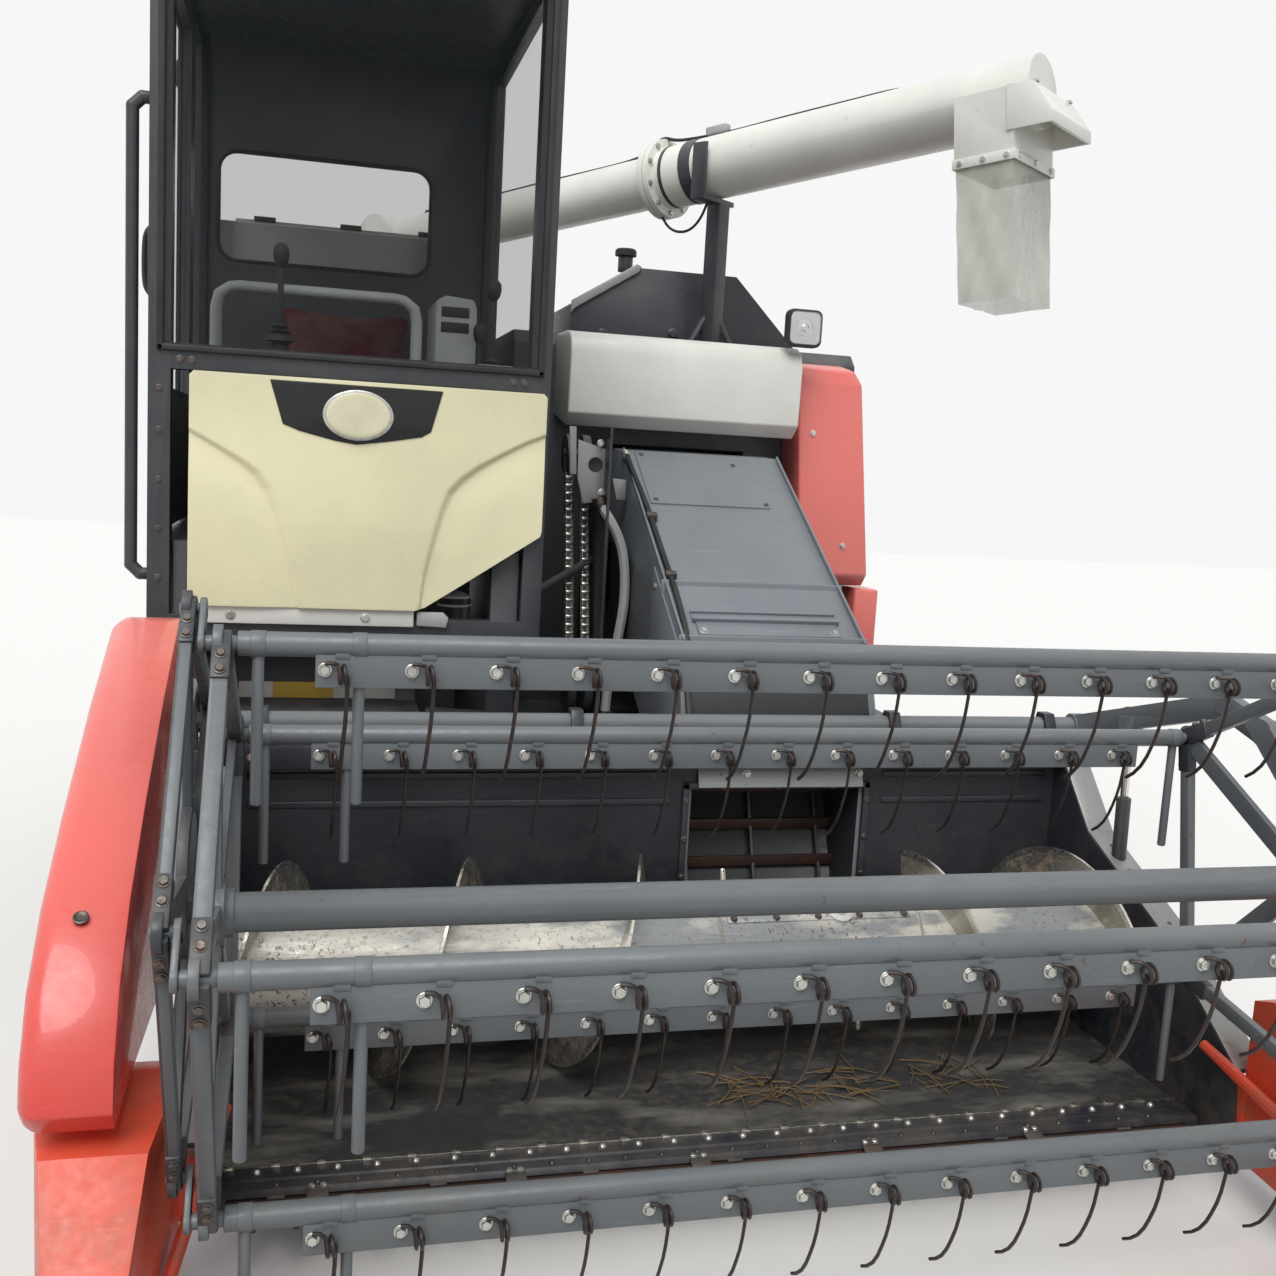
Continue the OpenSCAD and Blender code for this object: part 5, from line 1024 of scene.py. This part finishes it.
def panel_sink(x, z):
    sink = 0
    for line, outer in ((LEFT_CREASE, -1), (RIGHT_CREASE, 1)):
        d, w = crease_at(line, x, z, outer)
        t = max(0, min(1, (d + w) / (2 * w)))
        step = t * t * (3 - 2 * t)
        depth = CREASE_DEPTH * (0.45 + 0.55 * w / 15)
        away = 1 if d < 0 else math.exp(-(d / 65) ** 2)
        sink += depth * step * away
    return sink


def front_panel():
    clear()
    cx, cz = (PANEL_X0 + PANEL_X1) / 2, (PANEL_Z0 + PANEL_Z1) / 2
    bpy.ops.mesh.primitive_grid_add(x_subdivisions=176, y_subdivisions=115, size=1,
                                    location=at((cx, PANEL_Y, cz)), rotation=(math.radians(90), 0, 0))
    o = bpy.context.object
    o.scale = ((PANEL_X1 - PANEL_X0) * MM, (PANEL_Z1 - PANEL_Z0) * MM, 1)
    settle(o)
    for v in o.data.vertices:
        x, z = v.co.x / MM - ORIGIN_SHIFT, v.co.z / MM
        v.co.y = (PANEL_Y + panel_sink(x, z)) * MM
    # Corners cut off along these lines
    cuts = [((-690, 1144), (-395, 1341)), ((-716, 1136), (-690, 1144)),
            ((PANEL_X0, 1696), (PANEL_X0 + 10, PANEL_Z1)), ((PANEL_X1 - 10, PANEL_Z1), (PANEL_X1, 1696)),
            ((PANEL_X0 + 10, 1136), (PANEL_X0, 1146)), ((PANEL_X1, 1352), (PANEL_X1 - 6, 1330))]
    bpy.ops.object.mode_set(mode="EDIT")
    for (xa, za), (xb, zb) in cuts:
        bpy.ops.mesh.select_all(action="SELECT")
        out = Vector((zb - za, 0, xa - xb))
        if out.dot(Vector((cx - xa, 0, cz - za))) > 0:
            out = -out
        bpy.ops.mesh.bisect(plane_co=at((xa, 0, za)), plane_no=out.normalized(), clear_outer=True,
                            clear_inner=False)
    close_outwards()
    # An open sheet has no outside of its own: its face looks forward, away from its thickness
    if sum(f.normal.y for f in o.data.polygons) > 0:
        bpy.ops.object.mode_set(mode="EDIT")
        bpy.ops.mesh.flip_normals()
        close_mesh()
    m = o.modifiers.new("sheet", "SOLIDIFY")
    m.thickness = 14 * MM
    m.offset = -1
    apply_last(o)
    rounded(o, 4, 3, 60)
    dress(o, "front_panel", "cream", "root", ["cab_front_panel"], 40)
    lip = [(-1262, 1140), (-718, 1140), (-692, 1149), (-401, 1345), (-401, 1700), (-1262, 1700)]
    dress(plate(lip, "y", -688.5, -675.3, 2), "panel_back", "charcoal", "root")
    strip = plate([(-1250, 1092), (-716, 1092), (-716, 1137), (-1250, 1137)], "y", -690, -676, 3)
    dress(strip, "panel_strip", "white", "root")
    bolts([(-1168, -690, 1114), (-838, -690, 1114)], (0, -1, 0), "strip_bolts", "root", 10, 5)
    tab = [(-708, 1096), (-632, 1092), (-626, 1118), (-640, 1132), (-708, 1132)]
    dress(plate(tab, "y", -688, -676, 3), "strip_bracket", "grey", "root")
    panel_badge()


# Dark trim below the panel's top edge with a blank oval badge
BADGE_X, BADGE_Z, BADGE_FLAT = -870, 1622, 0.72


def panel_badge():
    field = [(-1083, 1697), (-662, 1695), (-689, 1592), (-712, 1578), (-801, 1561), (-873, 1550),
             (-925, 1557), (-1009, 1576), (-1051, 1591)]
    dress(plate(field, "y", -704.3, -690, 2.2, 3), "emblem_field", "emblem", "root")
    for name, r, y, h, finish in (("badge_ring", 86, -703, 8, "bolt"), ("badge_disc", 77, -705, 9, "badge")):
        rings = [(0, r), (h, r), (h + 1, r - 3), (h + 1.6, r - 12)]
        disc = turned((BADGE_X, y, BADGE_Z), (0, -1, 0), rings, 64)
        for v in disc.data.vertices:
            v.co.z = BADGE_Z * MM + (v.co.z - BADGE_Z * MM) * BADGE_FLAT
        dress(disc, name, finish, "root")


# Cab: seals, bolts, door fittings, roof gutters and the shelf's bands
def cab_details():
    eased("cab_frame", 2.5, 2)
    eased("cab_roof", 14, 4)
    eased("cab_door", 3, 2)
    eased("screen_door", 1.2, 1)
    x0, x1, z0, z1, w = -1347, -404, 1750, 2786, 16
    sides = ((x0, z0, x1, z0 + w), (x0, z1 - w, x1, z1), (x0, z0, x0 + w, z1), (x1 - w, z0, x1, z1))
    seal = [block((xa, -685, za), (xb, -674, zb), 4, 3) for xa, za, xb, zb in sides]
    dress(together(seal), "windscreen_seal", "black", "root")
    ring = []
    for k, (cx, cz) in enumerate(((-1225, 2172), (-671, 2172), (-671, 2395), (-1225, 2395))):
        for a in range(180, 271, 15):
            t = math.radians(a + 90 * k)
            ring.append((cx + 60 * math.cos(t), 452, cz + 60 * math.sin(t)))
    dress(bent(ring + ring[:1], 9, round_steps=2), "rear_window_seal", "black", "root")
    sill = [(x, -675, 1731) for x in (-1294, -1266, -481, -453)]
    bolts(sill, (0, -1, 0), "sill_bolts", "root", 7.5, 6, "dark_bolt")
    post = [(-1341, -675, z) for z in (1090, 1200, 1320, 1440, 1560, 1660)]
    bolts(post, (0, -1, 0), "post_bolts", "root", 6.5, 5, "dark_bolt")
    window = [(-455, 1675), (105, 1675), (105, 2700), (-455, 2700), (-455, 1675)]
    dress(bent([(-1370, y, z) for y, z in window], 7), "door_window_seal", "black", "cab_door_body")
    grip = [(-1366, 1890), (-1392, 1900), (-1398, 1930), (-1398, 2030), (-1392, 2060), (-1366, 2070)]
    handle = bent([(x, -477, z) for x, z in grip], 8, True, 2)
    dress(handle, "door_grip", "black", "cab_door_body")
    gutters = [bent([(x, -700, 2794), (x, 470, 2794)], 8, round_steps=2) for x in (-1380, -371)]
    dress(together(gutters), "roof_gutters", "black", "root")
    bands = (("white", "strip_white", -1157, -1068), ("yellow", "strip_yellow", -1068, -908),
             ("pale", "strip_white", -908, -740))
    for name, finish, xa, xb in bands:
        dress(block((xa, -436, 856), (xb, -429.5, 900), 1.5), "shelf_band_" + name, finish, "root")
    rail = bent([(-660, -470, 830), (-560, -470, 822), (-420, -466, 812)], 14, round_steps=3)
    dress(rail, "cross_tube", "charcoal", "root")
    dress(block((-760, -482, 770), (-722, -440, 812), 4), "shelf_bracket", "charcoal", "root")


# Controls seen through the glass; each lever has its place, foot, top and knob radius
CAB_FLOOR = 1291
LEVERS = ((-495, -320, 1780, 2030, 22), (-500, -70, 1780, 1930, 19), (-1067, -460, 1820, 2055, 21))


def cab_controls():
    console = plate([(-560, 1290), (-430, 1290), (-430, 1770), (-446, 1788), (-544, 1788), (-560, 1770)],
                    "y", -420, 380, 6)
    bend = [(-1240, CAB_FLOOR), (-1240, 1900), (-1232, 1936), (-1204, 1956), (-1180, 1960), (-760, 1960),
            (-736, 1956), (-708, 1936), (-700, 1900), (-700, CAB_FLOOR)]
    arch = bent([(x, -250, z) for x, z in bend], 16, round_steps=4)
    tower = plate([(-628, 1292), (-505, 1292), (-505, 1975), (-516, 2000), (-600, 2008), (-628, 1990)],
                  "y", -36, 250, 7, 3)
    dress(together([console, arch, tower]), "console_and_arch", "grey", "root", ["controls"])
    switches = [block((-612, -40, z), (-528, -34, z + 30), 3) for z in (1900, 1945)]
    dress(together(switches), "console_switch_rows", "black", "root")
    levers = []
    for x, y, z0, z1, r in LEVERS:
        boot = [(0, 38), (14, 34), (18, 24), (26, 28), (30, 18), (38, 22), (44, 9), (46, 8)]
        knob = [(0, 9), (6, 12), (14, r - 4), (30, r), (48, r - 1), (58, r - 8), (62, 4)]
        levers += [turned((x, y, z0 - 14), (0, 0, 1), boot, 28), rod((x, y, z0), (x, y, z1 - 50), 8, 20, 1),
                   turned((x, y, z1 - 62), (0, 0, 1), knob, 28)]
    levers.append(rod((-1067, -460, CAB_FLOOR), (-1067, -460, 1812), 24, 32, 3))
    dress(together(levers), "levers", "black", "root")
    # Black strips painted on the console's top as the shade inside its slots
    slots = [block((-530, y, 1786), (-460, y + 14, 1791), 2) for y in (-250, -180, 60, 140)]
    dress(together(slots), "console_slot_shade", "black", "root")
    post = rod((-880, -380, CAB_FLOOR), (-880, -330, 1700), 22, 28, 3)
    dress(post, "seat_side_post", "charcoal", "root")


# Seat cushion: a rounded block blown up as cloth, by no more than the puff in millimetres
CUSHION_FRAMES = 20


def cushion(lo, hi, puff, lean=0.0):
    o = block([a + 12 for a in lo], [b - 12 for b in hi], 22, 3)
    if lean:
        for v in o.data.vertices:
            v.co.y += (v.co.z - lo[2] * MM) * lean
    m = o.modifiers.new("skin", "REMESH")
    m.mode = "VOXEL"
    m.voxel_size = 0.006
    apply_last(o)
    cap = puff * MM
    start = [v.co.copy() for v in o.data.vertices]
    c = o.modifiers.new("stuffing", "CLOTH")
    c.settings.use_pressure = True
    c.settings.uniform_pressure_force = 4
    c.settings.effector_weights.gravity = 0
    scene = bpy.context.scene
    for k in range(CUSHION_FRAMES):
        scene.frame_set(k + 1)
    apply_last(o)
    scene.frame_set(1)
    for v, s in zip(o.data.vertices, start):
        d = v.co - s
        if d.length > cap:
            v.co = s + d.normalized() * cap
    sub = o.modifiers.new("soft", "SUBSURF")
    sub.levels = sub.render_levels = 1
    apply_last(o)
    return o


# Seat: box with its trim, runners, and the two cushions
def seat():
    base = block((-1140, -120, 1290), (-620, 410, 1545), 14, 3)
    trim = block((-1146, -126, 1520), (-614, 416, 1545), 8, 3)
    dress(together([base, trim]), "seat_box", "charcoal", "root", ["seat"])
    pad = cushion((-1120, -80, 1560), (-640, 400, 1680), 22)
    dress(pad, "seat_pad", "seat", "root", smooth=60)
    back = cushion((-1100, 300, 1684), (-660, 385, 1990), 20, 0.1)
    dress(back, "seat_back", "seat", "root", smooth=60)
    runners = [block((x, -60, 1545), (x + 30, 380, 1562), 3) for x in (-1080, -710)]
    dress(together(runners), "seat_runners", "dark_bolt", "root")


# Outline of the lamp: a square with round corners, as x and z
LAMP_X, LAMP_Z = 560, 2005


def lamp_square(half, corner, steps=6):
    ring = []
    for k, (cx, cz) in enumerate(((-1, -1), (1, -1), (1, 1), (-1, 1))):
        for i in range(steps):
            t = math.radians(180 + 90 * k + 90 * i / (steps - 1))
            ring.append((LAMP_X + cx * (half - corner) + corner * math.cos(t),
                         LAMP_Z + cz * (half - corner) + corner * math.sin(t)))
    return ring


# Upper body: hood, tank, thresher, covers, lamp and their seams and bolts
def upper_body():
    for node, edge, steps in (("front_hood", 6, 3), ("grain_tank", 10, 3), ("thresher_body", 5, 2),
                              ("top_cover", 5, 2), ("side_covers", 9, 3), ("side_panel", 7, 3),
                              ("straw_hood", 3, 2), ("auger_column", 3, 2), ("auger_cradle", 3, 2)):
        eased(node, edge, steps)
    bolts([(x, 788, 1985) for x in (-20, 380, 780)], (0, -1, 0), "cover_bolts", "root", 10, 7)
    cap = turned((160, 900, 2312), (0, 0, 1), [(0, 28), (2, 40), (22, 40), (28, 34), (30, 12)], 32)
    grips = spread(block((119, 896, 2314), (124, 904, 2332), 1), [(0, 0, 0), (77, 0, 0)])
    dress(together([cap, grips]), "filler_cap", "black", "root")
    trim = [(-62, 2078), (-62, 2122), (178, 2272), (196, 2262), (186, 2244), (-50, 2094)]
    dress(plate(trim, "y", 778, 792, 2), "sloped_trim", "sheet", "root")
    pegs = [turned((x, 790, z), (0, -1, 0), [(0, 20), (6, 20), (10, 14), (18, 12)], 24)
            for x, z in ((60, 2010), (330, 2030))]
    dress(together(pegs), "cover_pegs", "charcoal", "root")
    bolts([(662, 124, 1676), (800, 124, 1300)], (0, -1, 0), "corner_cover_bolts", "root", 8, 6)
    # Lamp: housing with its rim, bright bowl and bulb, clear lens
    eased("lamps", 1.5, 1)
    rim = plate(lamp_square(60, 22), "y", 2, 34, 4, 3)
    shell = plate(lamp_square(50, 18), "y", 30, 66, 9, 3)
    dress(together([rim, shell]), "lamp_housing", "black", "root")
    bowl = plate(lamp_square(50, 18), "y", -0.5, 4, 1)
    bulb = turned((LAMP_X, 0, LAMP_Z), (0, -1, 0), [(-1, 30), (1, 27), (1.4, 14), (3.5, 12), (5, 6)], 28)
    dress(together([bowl, bulb]), "lamp_bowl", "chrome", "root")
    dress(plate(lamp_square(52, 19), "y", -8, -1, 3, 3), "lamp_lens", "lens", "root")
    # Seams of the tank and the side panel, the lid's hinges, latches and bolts
    seams = [block((-1362, y, 1290), (-1356, y + 8, 2186), 2) for y in (640, 874, 1110, 1345, 1580)]
    dress(together(seams), "tank_seams", "white", "root")
    hinges = [rod((x, 612, 2276), (x + 70, 612, 2276), 9, 20, 2) for x in (-1180, -900, -640)]
    dress(together(hinges), "tank_lid_hinges", "dark_bolt", "root")
    side_seams = [block((909, y, 1080), (913, y + 4, 1900), 1) for y in (780, 1400)]
    dress(together(side_seams), "side_panel_seams", "white", "root")
    latches = [block((911, y, 1700), (922, y + 70, 1730), 4) for y in (560, 1050, 1700)]
    dress(together(latches), "side_latches", "black", "root")
    side_heads = [(904, y, z) for y in (480, 900, 1400, 1900) for z in (840, 1120)]
    bolts(side_heads, (1, 0, 0), "lower_panel_bolts", "root", 8, 6)
    tank_heads = [(-1360, y, z) for y in (560, 1680) for z in (1340, 1700, 2060)]
    bolts(tank_heads, (-1, 0, 0), "tank_bolts", "root", 9, 6)


# Unloading pipe: its pivot on the column, and its directions along, across and up
COLUMN = (-640, 2075, 2450)
PIPE_YAW, PIPE_PITCH = math.radians(-53.13), math.radians(5.4)
S_WAY = Vector((math.cos(PIPE_YAW) * math.cos(PIPE_PITCH), math.sin(PIPE_YAW) * math.cos(PIPE_PITCH),
                math.sin(PIPE_PITCH)))
T_WAY = Vector((-math.sin(PIPE_YAW), math.cos(PIPE_YAW), 0))
N_WAY = S_WAY.cross(T_WAY)
# Cables, as distances along, across and above the pipe's axis
PIPE_CABLE = ((240, 84), (262, 97), (330, 101), (600, 101), (900, 101), (1180, 101), (1300, 101),
              (1420, 101), (1500, 118), (1530, 148), (1560, 150), (1600, 128), (1700, 122), (1850, 116),
              (2000, 116), (2200, 115), (2400, 118), (2600, 116), (2780, 20), (2800, 6))
HANGING_LEAD = ((1545, -20, -140), (1575, -30, -190), (1640, -30, -220), (1700, -20, -200),
                (1730, -10, -150), (1735, 0, -118))


# Point on the pipe: s along it, t across it, n above its axis
def on_pipe(s, t=0.0, n=0.0):
    return Vector(COLUMN) + S_WAY * s + T_WAY * t + N_WAY * n


# Tips a piece modelled level at the column over into the pipe's line
def tip_to_pipe(obj):
    turn = Matrix((S_WAY, T_WAY, N_WAY)).transposed().to_4x4()
    back = Matrix.Translation(-at((0, 0, 0)))
    obj.matrix_world = Matrix.Translation(at(COLUMN)) @ turn @ back @ obj.matrix_world
    return settle(obj)


def unloading_pipe():
    eased("unload_pipe", 3, 2)
    eased("unload_elbow", 3, 2)
    for s, way in ((1520, -1), (1568, 1)):
        turns = [math.tau * k / 10 + 0.3 for k in range(10)]
        ring = [on_pipe(s, 127 * math.cos(a), 127 * math.sin(a)) for a in turns]
        bolts(ring, S_WAY * way, "flange_bolts_%d" % s, "unload_boom", 9, 8)
    bands = []
    for s, w, r in ((1712, 26, 113), (1600, 8, 111.5)):
        band = [(0, r - 4), (1, r), (2 * w - 1, r), (2 * w, r - 4)]
        bands.append(turned(on_pipe(s - w), S_WAY, band, 64))
    dress(together(bands), "pipe_straps", "charcoal", "unload_boom")
    cable = [on_pipe(s, 8 * math.sin(s / 90), n) for s, n in PIPE_CABLE]
    dress(bent(cable, 6, True, 2), "pipe_cable", "black", "unload_boom")
    gland = turned(on_pipe(236, 0, 92), N_WAY, [(0, 16), (8, 16), (10, 13), (16, 10)], 20)
    dress(gland, "cable_gland", "black", "unload_boom")
    plug = tip_to_pipe(block((1745, -18, 118), (1835, 18, 146), 6, 3))
    dress(plug, "cable_connector", "grey", "unload_boom")
    # Clamp band with bolts round the top of the clear spout, and the scoop's bolts
    sides = ((2776, -154, 2976, -148), (2776, 148, 2976, 154), (2774, -154, 2780, 154),
             (2972, -154, 2978, 154))
    band = [tip_to_pipe(block((sa, ta, -226), (sb, tb, -196), 2)) for sa, ta, sb, tb in sides]
    dress(together(band), "spout_clamp", "white", "unload_boom")
    heads = [on_pipe(s, -154, -211) for s in (2800, 2876, 2952)]
    bolts(heads, -T_WAY, "spout_bolts_front", "unload_boom", 8, 6)
    heads = [on_pipe(2978, t, -211) for t in (-120, 0, 120)]
    bolts(heads, S_WAY, "spout_bolts_end", "unload_boom", 8, 6)
    heads = [on_pipe(s, t, n) for s, n, side in ((2974, -20, 110), (3030, -12, 130)) for t in (-side, side)]
    bolts(heads, N_WAY, "scoop_bolts", "unload_boom", 9, 8)
    # Cradle's braces under the pipe, on their foot plate
    p = on_pipe(1790, 0, -112)
    foot = [bent([(p.x + dx, p.y, 1962), (p.x, p.y, 2130)], 12, round_steps=2) for dx in (-90, 90)]
    foot.append(block((p.x - 120, p.y - 40, 1960.5), (p.x + 120, p.y + 40, 1972), 3))
    dress(together(foot), "cradle_braces", "charcoal", "root")
    lead = bent([on_pipe(*q) for q in HANGING_LEAD], 5, True, 2)
    dress(lead, "hanging_lead", "black", "unload_boom")


# Clear spout: one creased sheet hung from the clamp band, as a tube of four flat sides.
# First and last distance along the pipe, half its width, top and foot below the axis
CURTAIN = (2784, 2968, 146, -200.3, -630)
CURTAIN_ROWS, CURTAIN_COLUMNS = 30, (24, 36)


def spout_sheet():
    s0, s1, half, top, foot = CURTAIN
    outline = [(s0, -half), (s1, -half), (s1, half), (s0, half)]
    points = []
    for k, (a, b) in enumerate(zip(outline, outline[1:] + outline[:1])):
        n = CURTAIN_COLUMNS[k % 2]
        for i in range(n):
            points.append((a[0] + (b[0] - a[0]) * i / n, a[1] + (b[1] - a[1]) * i / n))
    clear()
    bpy.ops.mesh.primitive_circle_add(vertices=len(points), radius=1, fill_type="NOTHING")
    o = bpy.context.object
    for v, (s, t) in zip(o.data.vertices, points):
        v.co = at((s, t, top))
    open_mesh()
    fall = (0, 0, (foot - top) / CURTAIN_ROWS * MM)
    for k in range(CURTAIN_ROWS):
        bpy.ops.mesh.extrude_region_move(TRANSFORM_OT_translate={"value": fall})
    close_outwards()
    # Creases: waves round the tube that grow below the clamp, and a slight draw inwards
    middle = (s0 + s1) / 2
    for v in o.data.vertices:
        s, t, n = v.co.x / MM - ORIGIN_SHIFT, v.co.y / MM, v.co.z / MM
        down = (top - n) / (top - foot)
        a = math.atan2(t, s - middle)
        wave = 3.2 * math.sin(5 * a + 4 * down) + 2.4 * math.sin(9 * a - 9 * down + 1)
        wave += 1.6 * math.sin(17 * a + 15 * down)
        push = wave * min(1, down * 3) - 4 * down
        length = math.hypot(s - middle, t)
        v.co.x += push * (s - middle) / length * MM
        v.co.y += push * t / length * MM
    tip_to_pipe(o)
    m = o.modifiers.new("sheet", "SOLIDIFY")
    m.thickness = 1.6 * MM
    apply_last(o)
    dress(o, "spout_sheet", "clear", "unload_boom", ["spout_curtain"], 60)


# Dividers and the long red drive cover, whose outer rim is rounded wide
COVER_X0, COVER_X1, COVER_RIM = -1380, -1244, 36


def header_ends():
    eased("dividers", 7, 3)
    outline = [(-1050, 1090), (-1080, 1140), (-1130, 1160), (-1194, 1160), (-1480, 1052), (-1767, 925),
               (-1960, 825), (-2080, 730), (-2140, 630), (-2153, 560), (-2128, 525), (-1980, 524),
               (-1500, 480), (-1050, 560)]
    cover = plate(outline, "x", COVER_X0, COVER_X1)
    bpy.ops.object.mode_set(mode="EDIT")
    bpy.ops.mesh.select_mode(type="EDGE")
    bpy.ops.mesh.select_all(action="DESELECT")
    close_mesh()
    outer = at((COVER_X0 + 1, 0, 0)).x
    for e in cover.data.edges:
        e.select = all(cover.data.vertices[v].co.x < outer for v in e.vertices)
    bpy.ops.object.mode_set(mode="EDIT")
    bpy.ops.mesh.bevel(offset=COVER_RIM * MM, segments=7, clamp_overlap=False)
    bpy.ops.mesh.select_mode(type="VERT")
    close_mesh()
    rounded(cover, 3, 2, 40)
    dress(cover, "drive_cover", "red", "header", ["header_cover"], 40)
    hole = turned((-1312, -1995, 806), (0, -0.55, 0.83), [(-2, 12), (1.4, 12), (2, 10), (0.6, 7), (0.6, 3)], 28)
    dress(hole, "cover_bolt_seat", "dark_bolt", "header")
    seam = [(-1060, 640), (-1480, 560), (-1980, 600), (-1980, 594), (-1480, 554), (-1060, 634)]
    dress(plate(seam, "x", COVER_X0 - 2, COVER_X0 + 2, 1), "cover_seam", "charcoal", "header")
    latches = [block((COVER_X0 - 8, y - 30, 620), (COVER_X0 + 2, y + 30, 642), 4) for y in (-1300, -1800)]
    dress(together(latches), "cover_latches", "black", "header")
    tips = [bent([(980, -1700, 330), (1020, -2050, 250), (1060, -2420, 120)], 11.6, True, 2),
            bent([(-1110, -1700, 330), (-1170, -2060, 250), (-1240, -2440, 120)], 11.6, True, 2)]
    dress(together(tips), "divider_rods", "orange", "header")
    heads = [(-1145, -1765, z) for z in (195, 245)] + [(1075, -1815, z) for z in (300, 400)]
    bolts(heads, (1, 0, 0), "divider_bolts", "header", 8, 6)


# Undercarriage: wheels as depth, height, radius and half width; rollers along each side
TRACK_XS = (-727, 457)
WHEELS = ((-480, 405, 85, 76), (1360, 275, 60, 60))
ROLLERS, ROLLER_Y0, ROLLER_Z, ROLLER_PITCH = 5, -220, 150, 308.75


def undercarriage():
    eased("track_frames", 3, 2)
    eased("chassis_frame", 2.5, 1)
    eased("handrail_steps", 2, 2)
    hubs, caps = [], []
    for x in TRACK_XS:
        for y, z, r, side in WHEELS:
            hub = [(-2, r * 0.8), (6, r * 0.8), (10, r * 0.7), (10, r * 0.4), (22, r * 0.36)]
            for s in (-1, 1):
                hubs.append(turned((x + s * side, y, z), (s, 0, 0), hub, 32))
        for i in range(ROLLERS):
            for s in (-1, 1):
                caps.append(turned((x + s * 115, ROLLER_Y0 + i * ROLLER_PITCH, ROLLER_Z), (s, 0, 0),
                                   [(-1, 70), (3, 68), (3, 34), (12, 30), (14, 24)], 28))
    dress(together(hubs), "wheel_hubs", "charcoal", "root")
    dress(together(caps), "roller_caps", "dark_bolt", "root")
    treads = []
    for z in (547, 927):
        one = block((-1346, -555, z - 3), (-1196, -545, z + 1.5), 1)
        treads.append(spread(one, [(0, k * 40, 0) for k in range(9)]))
    dress(together(treads), "step_treads", "dark_bolt", "root")
    for node in ("unload_barrel", "reel_barrels"):
        eased(node, 2, 2)
    for node in ("unload_rod", "reel_rods", "header_rod"):
        eased(node, 1, 1)


# Studio floor: it keeps the machine's shadow and looks white to the camera
def floor():
    clear()
    bpy.ops.mesh.primitive_plane_add(size=40, location=(0, 0, 0))
    o = bpy.context.object
    o.name = "studio_floor"
    f = Finish("studio_floor")
    col = f.mix(looking_rays(f.tree), (0.30, 0.30, 0.29), (0.80, 0.78, 0.74))
    f.link(col, f.skin.inputs["Base Color"])
    f.skin.inputs["Roughness"].default_value = 0.9
    f.skin.inputs["Specular IOR Level"].default_value = 0.1
    o.data.materials.append(f.mat)


clear()
set_camera()
set_light()
floor()
tine_bars()
reel_fittings()
crop_auger()
cutting_gear()
header_details()
header_ends()
feeder_details()
feeder_side_gear()
front_panel()
cab_details()
cab_controls()
seat()
upper_body()
unloading_pipe()
spout_sheet()
undercarriage()
